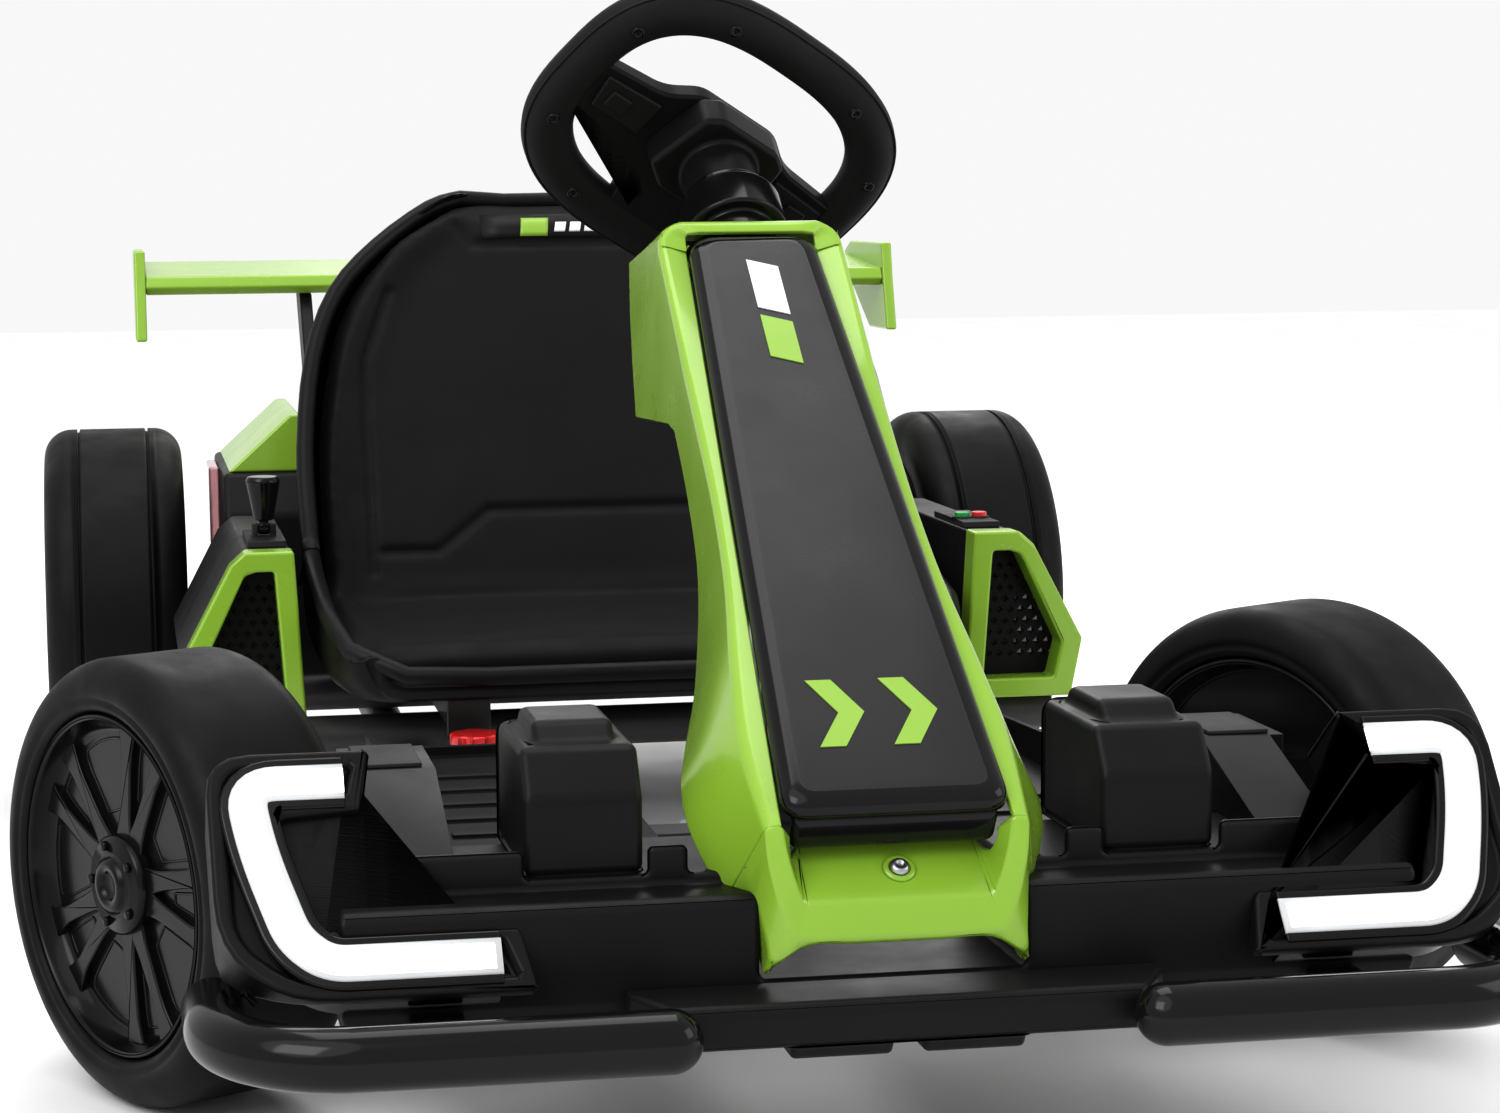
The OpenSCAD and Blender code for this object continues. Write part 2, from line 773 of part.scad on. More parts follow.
module drift_lever() {
    color("black") at_front() translate([-panel_x, panel_y, lever_pin_z]) difference() {
        union() {
            rotate([0, 90, 0]) cylinder(r = 3.6, h = lever_w, center = true);
            cylinder(r = 3, h = 8);
            translate([0, 0, 6]) rotate_extrude() polygon([[0, 0], [6.5, 0], [11.5, 26], [10, 29], [0, 29]]);
        }
        rotate([0, 90, 0]) cylinder(r = lever_pin_r + turn_fit, h = 2 * lever_w, center = true);
    }
}

button_r = 5;
button_h = 3;
button_travel = 2;
button_gap = 12;

module button_panel() {
    color("dimgray") at_front() difference() {
        union() {
            pod_panel();
            for (k = [-1, 1]) translate([panel_x + k * button_gap / 2, panel_y - 10, panel_top - 1])
                cylinder(r = button_r + 2, h = 2);
        }
        for (k = [-1, 1]) translate([panel_x + k * button_gap / 2, panel_y - 10, pod_top])
            cylinder(r = button_r + turn_fit, h = panel_t + 2);
    }
}

module push_button(k, tint) {
    base = pod_top + button_travel + 0.3;
    color(tint) at_front() translate([panel_x + k * button_gap / 2, panel_y - 10, base])
        cylinder(r = button_r, h = panel_top + 1 + button_h - base);
}

// --- Tail ---

tail_front = 660 - wheelbase;
tail_back = 100;

module rear_body() {
    color("black") at_rear() difference() {
        slab_x(-tail_half_w, tail_half_w, [
            [tail_front, rail_top], [tail_front, tail_top_z - 30], [tail_front + 20, tail_top_z],
            [tail_back - 30, tail_top_z], [tail_back, tail_top_z - 50], [tail_back, rail_top]
        ]);
        box([-tail_half_w + skin, tail_front + 22, rail_top + skin],
            [tail_half_w - skin, tail_back - 32, tail_top_z - skin]);
        translate([-tail_half_w - 1, 0, rear_tyre_r])
            rotate([0, 90, 0]) cylinder(r = axle_r + 0.02, h = 2 * tail_half_w + 2);
    }
}

axle_r = 9;
module rear_axle() {
    color("silver") at_rear() translate([-rear_wheel_x - 28, 0, rear_tyre_r])
        rotate([0, 90, 0]) cylinder(r = axle_r, h = 2 * rear_wheel_x + 56);
}

module gear_motors() {
    color("dimgray") at_rear() for (side = [-1, 1]) to_side(side)
        box([170, -30, rail_top + skin], [240, 20, rear_tyre_r - axle_r - 1]);
}

module battery() {
    color("gray") at_rear() box([-75, -90, rail_top + skin], [75, -20, rail_top + skin + 95]);
}

module rear_fender(side) {
    color("yellowgreen") at_rear() to_side(side)
        slab_y(tail_front + 24, tail_back - 34, [
            [tail_half_w - 4, tail_top_z], [tail_half_w - 8, tail_top_z + 4], [208, 300], [200, 300],
            [strut_x + 10, tail_top_z]
        ]);
}

module tail_lamps() {
    color("pink") at_rear() for (side = [-1, 1]) to_side(side)
        box([tail_half_w, -40, 195], [tail_half_w + 8, 30, 255]);
}

wing_rear = tail_reach;

module wing_plane() {
    color("yellowgreen") at_rear()
        translate([0, wing_rear - 10, wing_z]) slab_x(-wing_half_span, wing_half_span, [
            [-wing_chord, -wing_t / 2], [-wing_chord - 6, -wing_t / 5], [-wing_chord - 2, wing_t / 4],
            [-wing_chord / 2, wing_t / 2], [0, wing_t / 2 + 5], [0, wing_t / 2],
            [-wing_chord / 2, -wing_t / 2]
        ]);
}

module wing_endplates() {
    color("yellowgreen") at_rear() for (side = [-1, 1]) to_side(side)
        slab_x(wing_half_span, wing_half_span + 9, [
            [wing_rear - 150, 345], [wing_rear - 90, 345], [wing_rear, 396], [wing_rear, 410],
            [wing_rear - 20, 418], [wing_rear - 130, 418], [wing_rear - 136, 390]
        ]);
}

module wing_struts() {
    color("black") at_rear() for (side = [-1, 1]) to_side(side)
        slab_x(strut_x - 5, strut_x + 5, [
            [20, tail_top_z], [60, tail_top_z], [wing_rear - 74, wing_z - wing_t / 2],
            [wing_rear - 122, wing_z - wing_t / 2]
        ]);
}

// --- Steering ---

module steering_column() {
    color("silver") at_front() on_column() {
        sphere(r = column_ball_r);
        cylinder(r = 5, h = collar_from - 12);
        translate([0, 0, collar_from - 12]) cylinder(r = column_r, h = column_l - 5 - collar_from + 12);
    }
}

// Point of the grip's centre line at angle a
rim_power = 2.5;
function rim_point(a, w, h) =
    let (c = cos(a), s = sin(a))
    [w * sign(c) * pow(abs(c), 2 / rim_power), h * sign(s) * pow(abs(s), 2 / rim_power)];

function grip_ring(a) =
    let (outer = rim_point(a, wheel_half_w, wheel_half_h))
    let (inner = rim_point(a, wheel_half_w - grip_w, wheel_half_h - grip_w))
    [for (b = [0:30:330])
        let (k = (1 + cos(b)) / 2)
        [inner[0] + (outer[0] - inner[0]) * k, inner[1] + (outer[1] - inner[1]) * k, grip_d / 2 * sin(b)]];

module on_steering_wheel() {
    at_front() on_column() translate([0, 0, column_l]) rotate([0, 0, 180 + wheel_turn]) children();
}

module steering_wheel() {
    color("black") on_steering_wheel() {
        translate([0, 0, 2]) loft([for (a = [0:7.5:352.5]) grip_ring(a)], closed = true);
        translate([0, 0, -5]) linear_extrude(height = 12) polygon([
            [-96, -24], [-90, 10], [-40, 12], [-24, 20], [24, 20], [40, 12], [90, 10], [96, -24],
            [26, -28], [18, -70], [-18, -70], [-26, -28]
        ]);
    }
}

module steering_hub_pad() {
    color("black") on_steering_wheel() difference() {
        union() {
            translate([0, 0, -5 - 22]) linear_extrude(height = 22) polygon([
                [-36, -18], [-30, 22], [-20, 28], [20, 28], [30, 22], [36, -18], [20, -28], [-20, -28]
            ]);
            translate([0, 0, collar_to + run_gap - column_l]) cylinder(r = 21, h = column_l - collar_to - 26);
        }
        translate([0, 0, -column_l]) cylinder(r = column_r, h = column_l);
    }
}

module steering_lower_shaft() {
    cup_top = column_joint_z - 1;
    color("silver") at_front() difference() {
        union() {
            translate([0, 0, rail_top]) cylinder(r = spindle_r, h = cup_top - rail_top - 20);
            translate([0, 0, cup_top - 20]) cylinder(r = column_ball_r + 3, h = 20);
            rotate([0, 0, steer_now]) {
                translate([0, 0, pitman_z]) linear_extrude(height = arm_t) arm_outline();
                translate([0, arm_l, eye_z]) cylinder(r = pin_r, h = pitman_z - eye_z + 1);
            }
        }
        translate([0, 0, column_joint_z]) sphere(r = column_ball_r + run_gap);
    }
}

module arm_outline() {
    circle(r = 10);
    translate([0, arm_l]) circle(r = 7);
    translate([-6, 0]) square([12, arm_l]);
}

module knuckle(side) {
    color("dimgray") at_front() translate([side * kingpin_x, 0, 0]) rotate([0, 0, steer_now]) difference() {
        union() {
            translate([0, 0, axle_z - yoke_gap + run_gap]) cylinder(r = 11, h = 2 * (yoke_gap - run_gap));
            translate([0, 0, axle_z]) rotate([0, side * 90, 0]) {
                cylinder(r = 9, h = kingpin_offset + hub_inner - run_gap);
                cylinder(r = spindle_r, h = kingpin_offset + spindle_end - 1);
            }
            translate([0, 0, arm_z]) linear_extrude(height = arm_t) arm_outline();
            translate([0, arm_l, arm_z]) cylinder(r = pin_r, h = arm_t + eye_h + 1);
        }
        translate([0, 0, axle_z - yoke_gap]) cylinder(r = kingpin_r + turn_fit, h = 2 * yoke_gap);
    }
}

module tie_rod() {
    color("silver") at_front() translate([-arm_l * sin(steer_now), arm_l * cos(steer_now), eye_z]) difference() {
        union() {
            translate([-kingpin_x, 0, eye_h / 2]) rotate([0, 90, 0]) cylinder(r = 5.5, h = 2 * kingpin_x);
            for (x = [-kingpin_x, 0, kingpin_x]) translate([x, 0, 0]) cylinder(r = 9, h = eye_h);
        }
        translate([kingpin_x, 0, -1]) cylinder(r = pin_r + turn_fit, h = eye_h + 2);
        for (x = [-kingpin_x, 0]) translate([x, 0, -1]) cylinder(r = pin_r + loose_gap, h = eye_h + 2);
    }
}

// --- Wheels, built about z with the outer face up ---

module tyre(r, w, seat) {
    edge = w * 0.19;
    rotate_extrude($fn = 96) polygon([
        [seat, -w / 2 + 3], [seat + 6, -w / 2], [r - edge, -w / 2 + 2],
        for (a = [-80:20:0]) [r - edge + edge * cos(a), -w / 2 + 2 + edge + edge * sin(a)],
        for (a = [0:20:80]) [r - edge + edge * cos(a), w / 2 - 2 - edge + edge * sin(a)],
        [r - edge, w / 2 - 2], [seat + 6, w / 2], [seat, w / 2 - 3]
    ]);
}

// Barrel with a web behind the spokes and a flat plate inboard
function rim_profile(seat, in_r, hub, w) = let (web = w / 2 - web_depth) [
    [plate_hole_r, -plate_depth], [seat, -plate_depth], [seat, w / 2 - 3], [seat - 2, w / 2 - 1],
    [in_r, w / 2 - 6], [in_r, web + web_t], [hub - 2, web + web_t], [hub - 2, web], [in_r, web],
    [in_r, web_t - plate_depth], [plate_hole_r, web_t - plate_depth]
];

module rim(seat, w, hub, bore, reach) {
    in_r = seat - barrel_wall;
    spoke_z = w / 2 - web_depth + web_t / 2;
    difference() {
        union() {
            rotate_extrude($fn = 96) polygon(rim_profile(seat, in_r, hub, w));
            translate([0, 0, hub_inner]) cylinder(r = hub, h = w / 2 - hub_inner);
            translate([0, 0, spoke_z]) cylinder(r = hub_ring_r, h = 9);
            for (i = [0:4]) for (k = [-1, 1])
                rotate([0, 0, 72 * i + spoke_spread * k]) translate([0, 0, spoke_z])
                    linear_extrude(height = web_t / 2 + spoke_relief)
                        polygon([[hub + 2, -5], [in_r + 2, -4], [in_r + 2, 4], [hub + 2, 5]]);
        }
        translate([0, 0, hub_inner - 1]) cylinder(r = bore + turn_fit, h = reach - hub_inner + 1);
    }
}

module at_front_wheel(side) {
    at_front() translate([side * kingpin_x, 0, axle_z]) rotate([0, 0, steer_now])
        translate([side * kingpin_offset, 0, 0]) rotate([0, side * 90, 0]) children();
}

module at_rear_wheel(side) {
    at_rear() translate([side * rear_wheel_x, 0, rear_tyre_r]) rotate([0, side * 90, 0]) children();
}

module front_tyre(side) {
    color("black") at_front_wheel(side) tyre(front_tyre_r, front_tyre_w, front_seat_r);
}

module front_rim(side) {
    color("black") at_front_wheel(side) rim(front_seat_r, front_tyre_w, hub_r, spindle_r, spindle_end);
}

module rear_tyre(side) {
    color("black") at_rear_wheel(side) tyre(rear_tyre_r, rear_tyre_w, rear_seat_r);
}

module rear_rim(side) {
    color("black") at_rear_wheel(side) rim(rear_seat_r, rear_tyre_w, hub_r, axle_r, spindle_end + 1);
}

// --- Pedal ---

module accelerator_pedal() {
    color("dimgray") at_front() translate([-toe_x, pedal_y, pedal_z]) {
        rotate([0, 90, 0]) cylinder(r = pedal_pin_r, h = pedal_w + 2 * pedal_ear_t, center = true);
        rotate([-12, 0, 0]) {
            box([-pedal_w / 2 + run_gap, -4, -4], [pedal_w / 2 - run_gap, 4, 14]);
            box([-pedal_w / 2 - 1, -3, 12], [pedal_w / 2 + 1, 3, 66]);
        }
    }
}

frame_rail(1);  // frame_rail_left
frame_rail(-1);  // frame_rail_right
frame_cross_tubes();
front_axle_beam();
bumper_deck();
splitter();
bumper_bar(1);  // bumper_bar_left
bumper_bar(-1);  // bumper_bar_right
headlight_housing(1);  // headlight_housing_left
headlight_housing(-1);  // headlight_housing_right
headlight_lens(1);  // headlight_lens_left
headlight_lens(-1);  // headlight_lens_right
toe_box(1);  // toe_box_left
toe_box(-1);  // toe_box_right
foot_tray(1);  // foot_tray_left
foot_tray(-1);  // foot_tray_right
step_pads();
nose_frame();
nose_panel();
nose_base();
column_collar();
seat_shell();
seat_pad();
seat_mount();
pod_frame(1);  // pod_frame_left
pod_frame(-1);  // pod_frame_right
pod_body(1);  // pod_body_left
pod_body(-1);  // pod_body_right
lever_panel();
button_panel();
rear_body();
rear_fender(1);  // rear_fender_left
rear_fender(-1);  // rear_fender_right
tail_lamps();
wing_plane();
wing_endplates();
wing_struts();
rear_axle();
gear_motors();
battery();
steering_column();
steering_wheel();
steering_hub_pad();
steering_lower_shaft();
knuckle(1);  // knuckle_left
knuckle(-1);  // knuckle_right
tie_rod();
front_tyre(1);  // front_tyre_left
front_rim(1);  // front_rim_left
front_tyre(-1);  // front_tyre_right
front_rim(-1);  // front_rim_right
rear_tyre(1);  // rear_tyre_left
rear_rim(1);  // rear_rim_left
rear_tyre(-1);  // rear_tyre_right
rear_rim(-1);  // rear_rim_right
drift_lever();
push_button(-1, "green");  // green_button
push_button(1, "red");  // red_button
accelerator_pedal();
seat_knob();
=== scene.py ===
import json
import math

import bmesh
import bpy
from mathutils import Matrix, Vector


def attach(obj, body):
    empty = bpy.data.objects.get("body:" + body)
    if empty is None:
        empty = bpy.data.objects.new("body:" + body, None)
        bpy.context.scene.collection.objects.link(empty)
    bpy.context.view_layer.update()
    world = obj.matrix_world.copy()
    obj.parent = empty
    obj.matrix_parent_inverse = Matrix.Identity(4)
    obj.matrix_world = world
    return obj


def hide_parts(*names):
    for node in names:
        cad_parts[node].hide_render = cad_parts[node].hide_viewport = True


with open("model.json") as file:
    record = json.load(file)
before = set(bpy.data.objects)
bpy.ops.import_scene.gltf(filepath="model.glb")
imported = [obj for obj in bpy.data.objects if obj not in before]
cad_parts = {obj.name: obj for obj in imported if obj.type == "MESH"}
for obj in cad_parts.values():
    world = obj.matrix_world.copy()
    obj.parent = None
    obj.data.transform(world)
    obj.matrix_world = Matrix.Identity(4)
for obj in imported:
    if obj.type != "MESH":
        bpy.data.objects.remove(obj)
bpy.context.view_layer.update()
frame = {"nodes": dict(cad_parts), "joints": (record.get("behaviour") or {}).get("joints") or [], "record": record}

MM = 0.001
JOINTS = {j["name"]: j for j in frame["joints"]}
AXLE_Y = JOINTS["column_turn"]["pos_m"][1] / MM


# --- Measures taken from the frame ---

def span(node, direction, origin=Vector((0, 0, 0))):
    """Lowest and highest reach of a node along a direction, in millimetres."""
    reach = [(v.co - origin).dot(direction) / MM for v in frame["nodes"][node].data.vertices]
    return min(reach), max(reach)


def reach_round(node, direction, origin):
    """Largest distance of a node from an axis, in millimetres."""
    axis = direction.normalized()
    far = 0
    for v in frame["nodes"][node].data.vertices:
        d = v.co - origin
        far = max(far, (d - axis * d.dot(axis)).length)
    return far / MM


def axes_frame(origin, x, y, z):
    """Matrix that takes local millimetres to the frame's metres."""
    turn = Matrix((x, y, z)).transposed().to_4x4()
    return Matrix.Translation(origin) @ turn @ Matrix.Scale(MM, 4)


def front_place():
    """Local frame with y measured from the front axle."""
    return Matrix.Translation((0, AXLE_Y * MM, 0)) @ Matrix.Scale(MM, 4)


# --- Mesh building, in local millimetres ---

def make(name, verts, faces, place=Matrix.Scale(MM, 4), smooth=True):
    """A new object from points and faces in local millimetres, with its normals facing out."""
    mesh = bpy.data.meshes.new(name)
    mesh.from_pydata([tuple(v) for v in verts], [], faces)
    mesh.transform(place)
    mesh.validate()
    bm = bmesh.new()
    bm.from_mesh(mesh)
    bmesh.ops.recalc_face_normals(bm, faces=bm.faces)
    bm.to_mesh(mesh)
    bm.free()
    mesh.polygons.foreach_set("use_smooth", [smooth] * len(mesh.polygons))
    obj = bpy.data.objects.new(name, mesh)
    bpy.context.scene.collection.objects.link(obj)
    return obj


def loft_data(rings, closed=False):
    """Points and faces of a skin over rings with equal numbers of points."""
    n, m = len(rings[0]), len(rings)
    verts = [p for ring in rings for p in ring]
    faces = []
    for i in range(m if closed else m - 1):
        for j in range(n):
            a, b = i * n, (i + 1) % m * n
            faces.append((a + j, a + (j + 1) % n, b + (j + 1) % n, b + j))
    if not closed:
        faces.append(tuple(range(n))[::-1])
        faces.append(tuple((m - 1) * n + j for j in range(n)))
    return verts, faces


def revolve_data(profile, steps=144):
    """A closed (radius, height) outline turned about z."""
    rings = []
    for i in range(steps):
        a = 2 * math.pi * i / steps
        rings.append([(r * math.cos(a), r * math.sin(a), z) for r, z in profile])
    return loft_data(rings, closed=True)


def disc_data(profile, steps=72):
    """An open (radius, height) outline that starts and ends on the axis, turned about z."""
    inner = profile[1:-1]
    verts, faces = [(0, 0, profile[0][1]), (0, 0, profile[-1][1])], []
    n = len(inner)
    for i in range(steps):
        a = 2 * math.pi * i / steps
        verts += [(r * math.cos(a), r * math.sin(a), z) for r, z in inner]
    for i in range(steps):
        a, b = 2 + i * n, 2 + (i + 1) % steps * n
        faces += [(a + j, b + j, b + j + 1, a + j + 1) for j in range(n - 1)]
        faces += [(0, b, a), (1, a + n - 1, b + n - 1)]
    return verts, faces


def prism_data(outline, z0, z1):
    """A flat outline drawn out from z0 to z1."""
    return loft_data([[(x, y, z0) for x, y in outline], [(x, y, z1) for x, y in outline]])


def joined(*parts):
    """Several (points, faces) as one."""
    verts, faces = [], []
    for v, f in parts:
        faces += [tuple(i + len(verts) for i in face) for face in f]
        verts += v
    return verts, faces


def turned(data, matrix):
    """The same (points, faces), moved by a matrix."""
    verts, faces = data
    return [tuple(matrix @ Vector(v)) for v in verts], faces


def spin(angle):
    return Matrix.Rotation(math.radians(angle), 4, "Z")


def smooth_path(points, steps):
    """Catmull-Rom curve through rows of numbers."""
    out = []
    rows = [points[0]] + list(points) + [points[-1]]
    for i in range(1, len(rows) - 2):
        for k in range(steps):
            t = k / steps
            row = []
            for a, b, c, d in zip(rows[i - 1], rows[i], rows[i + 1], rows[i + 2]):
                row.append(0.5 * (2 * b + (c - a) * t + (2 * a - 5 * b + 4 * c - d) * t * t
                                  + (3 * b - a - 3 * c + d) * t ** 3))
            out.append(tuple(row))
    out.append(tuple(points[-1]))
    return out


def rounded(corners, steps=6):
    """Outline of (x, y, radius) corners, each turned into a short curve."""
    out = []
    n = len(corners)
    for i, (x, y, r) in enumerate(corners):
        p = Vector((x, y))
        ends = []
        for q in (corners[i - 1], corners[(i + 1) % n]):
            d = Vector(q[:2]) - p
            ends.append(p + d.normalized() * min(r, d.length * 0.45))
        for k in range(steps + 1):
            t = k / steps
            out.append(tuple((1 - t) ** 2 * ends[0] + 2 * t * (1 - t) * p + t * t * ends[1]))
    return out


def strip_data(stations, flip=False):
    """Points and faces of an open skin over stations with equal numbers of points."""
    n = len(stations[0])
    verts = [p for station in stations for p in station]
    faces = []
    for i in range(len(stations) - 1):
        for j in range(n - 1):
            a, b = i * n + j, (i + 1) * n + j
            faces.append((a, b, b + 1, a + 1) if flip else (a, a + 1, b + 1, b))
    return verts, faces


def mirrored(half):
    """Stations of one side, which end on the middle plane, with those of the other side."""
    return half + [[Vector((-p.x, p.y, p.z)) for p in station] for station in reversed(half[:-1])]


def thicken(obj, thickness, offset):
    wall = obj.modifiers.new("wall", "SOLIDIFY")
    wall.thickness = thickness * MM
    wall.offset = offset


def soften(obj, width, segments=3, angle=28):
    """Rounds the edges by width millimetres."""
    bevel = obj.modifiers.new("round", "BEVEL")
    bevel.width = width * MM
    bevel.segments = segments
    bevel.limit_method = "ANGLE"
    bevel.angle_limit = math.radians(angle)
    bevel.use_clamp_overlap = False
    bevel.miter_outer = "MITER_ARC"
    normals = obj.modifiers.new("normals", "WEIGHTED_NORMAL")
    normals.keep_sharp = True


# --- Materials ---

def nodes_of(name):
    """A new material, its node tree and its shader."""
    mat = bpy.data.materials.new(name)
    mat.use_nodes = True
    tree = mat.node_tree
    return mat, tree, tree.nodes["Principled BSDF"]


def noise(tree, scale, detail, rough=0.5):
    coord = tree.nodes.get("coord")
    if coord is None:
        coord = tree.nodes.new("ShaderNodeTexCoord")
        coord.name = "coord"
    tex = tree.nodes.new("ShaderNodeTexNoise")
    tex.inputs["Scale"].default_value = scale
    tex.inputs["Detail"].default_value = detail
    tex.inputs["Roughness"].default_value = rough
    tree.links.new(coord.outputs["Object"], tex.inputs["Vector"])
    return tex.outputs["Fac"]


def ranged(tree, value, lo, hi, low=0.3, high=0.7):
    node = tree.nodes.new("ShaderNodeMapRange")
    node.inputs["From Min"].default_value = low
    node.inputs["From Max"].default_value = high
    node.inputs["To Min"].default_value = lo
    node.inputs["To Max"].default_value = hi
    tree.links.new(value, node.inputs["Value"])
    return node.outputs["Result"]


def mixed(tree, factor, a, b):
    """Mix of a colour or a socket with a colour."""
    node = tree.nodes.new("ShaderNodeMix")
    node.data_type = "RGBA"
    tree.links.new(factor, node.inputs["Factor"])
    if isinstance(a, bpy.types.NodeSocket):
        tree.links.new(a, node.inputs["A"])
    else:
        node.inputs["A"].default_value = (*a, 1)
    node.inputs["B"].default_value = (*b, 1)
    return node.outputs["Result"]


def edge_wear(tree):
    geometry = tree.nodes.new("ShaderNodeNewGeometry")
    return ranged(tree, geometry.outputs["Pointiness"], 0, 1, 0.52, 0.62)


def add_bump(tree, shader, height, strength, distance):
    bump = tree.nodes.new("ShaderNodeBump")
    bump.inputs["Strength"].default_value = strength
    bump.inputs["Distance"].default_value = distance * MM
    tree.links.new(height, bump.inputs["Height"])
    tree.links.new(bump.outputs["Normal"], shader.inputs["Normal"])


def plastic(name, colour, tint, rough, grain, strength, coat=0.0, metal=0.0, worn=None, shine=0.5):
    """Moulded plastic or metal: colour drifts to tint, with a fine grain and worn edges."""
    mat, tree, shader = nodes_of(name)
    drift = ranged(tree, noise(tree, 5, 4), 0, 1)
    base = mixed(tree, drift, colour, tint)
    if worn:
        base = mixed(tree, edge_wear(tree), base, worn)
    tree.links.new(base, shader.inputs["Base Color"])
    polish = ranged(tree, noise(tree, 22, 5, 0.6), rough * 0.85, rough * 1.2)
    tree.links.new(polish, shader.inputs["Roughness"])
    shader.inputs["Coat Weight"].default_value = coat
    shader.inputs["Coat Roughness"].default_value = 0.08
    shader.inputs["Specular IOR Level"].default_value = shine
    shader.inputs["Metallic"].default_value = metal
    add_bump(tree, shader, noise(tree, grain, 2), strength, 0.06)
    return mat


def leatherette(name):
    mat, tree, shader = nodes_of(name)
    coord = tree.nodes.new("ShaderNodeTexCoord")
    cells = tree.nodes.new("ShaderNodeTexVoronoi")
    cells.inputs["Scale"].default_value = 520
    tree.links.new(coord.outputs["Object"], cells.inputs["Vector"])
    drift = ranged(tree, noise(tree, 7, 4), 0, 1)
    base = mixed(tree, drift, (0.0062, 0.0052, 0.0052), (0.0095, 0.0083, 0.0083))
    tree.links.new(base, shader.inputs["Base Color"])
    tree.links.new(ranged(tree, noise(tree, 30, 4), 0.5, 0.64), shader.inputs["Roughness"])
    shader.inputs["Specular IOR Level"].default_value = 0.15
    shader.inputs["Sheen Weight"].default_value = 0.03
    shader.inputs["Sheen Roughness"].default_value = 0.5
    add_bump(tree, shader, cells.outputs["Distance"], 0.35, 0.12)
    return mat


def rubber(name):
    mat, tree, shader = nodes_of(name)
    dust = ranged(tree, noise(tree, 14, 6, 0.65), 0, 1, 0.45, 0.75)
    base = mixed(tree, dust, (0.0045, 0.0045, 0.0047), (0.0085, 0.0083, 0.0082))
    shader.inputs["Specular IOR Level"].default_value = 0.18
    tree.links.new(base, shader.inputs["Base Color"])
    tree.links.new(ranged(tree, noise(tree, 40, 4), 0.42, 0.6), shader.inputs["Roughness"])
    add_bump(tree, shader, noise(tree, 420, 4, 0.7), 0.3, 0.1)
    return mat


def glowing(name, colour, strength):
    mat, tree, shader = nodes_of(name)
    drift = ranged(tree, noise(tree, 60, 2), 0, 1)
    tone = mixed(tree, drift, colour, [c * 0.94 for c in colour])
    tree.links.new(tone, shader.inputs["Base Color"])
    tree.links.new(tone, shader.inputs["Emission Color"])
    shader.inputs["Emission Strength"].default_value = strength
    shader.inputs["Roughness"].default_value = 0.25
    return mat


def clear_lens(name, colour):
    mat, tree, shader = nodes_of(name)
    drift = ranged(tree, noise(tree, 40, 3), 0, 1)
    tree.links.new(mixed(tree, drift, colour, [c * 0.85 for c in colour]), shader.inputs["Base Color"])
    shader.inputs["Transmission Weight"].default_value = 0.55
    shader.inputs["Roughness"].default_value = 0.12
    shader.inputs["Coat Weight"].default_value = 0.5
    return mat


SATIN = plastic("satin_black", (0.005, 0.005, 0.0053), (0.008, 0.0077, 0.008), 0.4, 1100, 0.3,
                worn=(0.022, 0.022, 0.022), shine=0.17)
GRAINED = plastic("grained_black", (0.0085, 0.0085, 0.0088), (0.013, 0.0127, 0.013), 0.55, 700, 0.6,
                  worn=(0.035, 0.035, 0.035), shine=0.17)
GLOSS = plastic("gloss_black", (0.004, 0.004, 0.0044), (0.006, 0.006, 0.0064), 0.13, 60, 0.04,
                coat=0.16, shine=0.22)
RIM = plastic("rim_black", (0.0035, 0.0035, 0.0038), (0.006, 0.006, 0.0064), 0.2, 80, 0.05,
              coat=0.1, shine=0.2)
PANEL = plastic("panel_satin", (0.0125, 0.012, 0.013), (0.017, 0.0165, 0.0175), 0.3, 1300, 0.1,
                coat=0.04, shine=0.26)
GREEN = plastic("green_gloss", (0.262, 0.44, 0.046), (0.236, 0.405, 0.038), 0.24, 500, 0.08, coat=0.3)
STEEL = plastic("zinc_steel", (0.55, 0.56, 0.58), (0.4, 0.41, 0.42), 0.34, 300, 0.2, metal=1.0)
PAINTED = plastic("painted_steel", (0.016, 0.016, 0.017), (0.022, 0.022, 0.023), 0.38, 400, 0.3,
                  worn=(0.16, 0.15, 0.14))
RED = plastic("red_plastic", (0.62, 0.018, 0.02), (0.5, 0.012, 0.014), 0.26, 400, 0.08, coat=0.3)
BUTTON_GREEN = plastic("button_green", (0.02, 0.33, 0.07), (0.015, 0.26, 0.05), 0.26, 400, 0.08, coat=0.3)
MARK_GREEN = plastic("mark_green", (0.25, 0.42, 0.05), (0.23, 0.39, 0.04), 0.35, 900, 0.1)
MARK_WHITE = plastic("mark_white", (0.72, 0.73, 0.74), (0.66, 0.67, 0.68), 0.35, 900, 0.1)
CASE = plastic("case_grey", (0.07, 0.07, 0.075), (0.09, 0.09, 0.09), 0.5, 500, 0.4)
TYRE = rubber("tyre_rubber")
SEAT = leatherette("seat_leatherette")
LIT = glowing("lamp_core", (1.0, 1.0, 1.0), 2.6)
LIT_EDGE = glowing("lamp_edge", (0.5, 0.51, 0.52), 0.3)
TAIL = clear_lens("tail_lens", (0.85, 0.45, 0.47))


# --- Pieces ---

WELD_DISTANCE = 0.00002
FLAT_ANGLE = 0.6


def piece(obj, body, material, slot, *replaced):
    """Puts a finished object on its body, gives it the material if it has none and hides the CAD nodes it stands
    for. The slot argument is not used.
    """
    if not obj.data.materials:
        obj.data.materials.append(material)
    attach(obj, body)
    if replaced:
        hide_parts(*replaced)


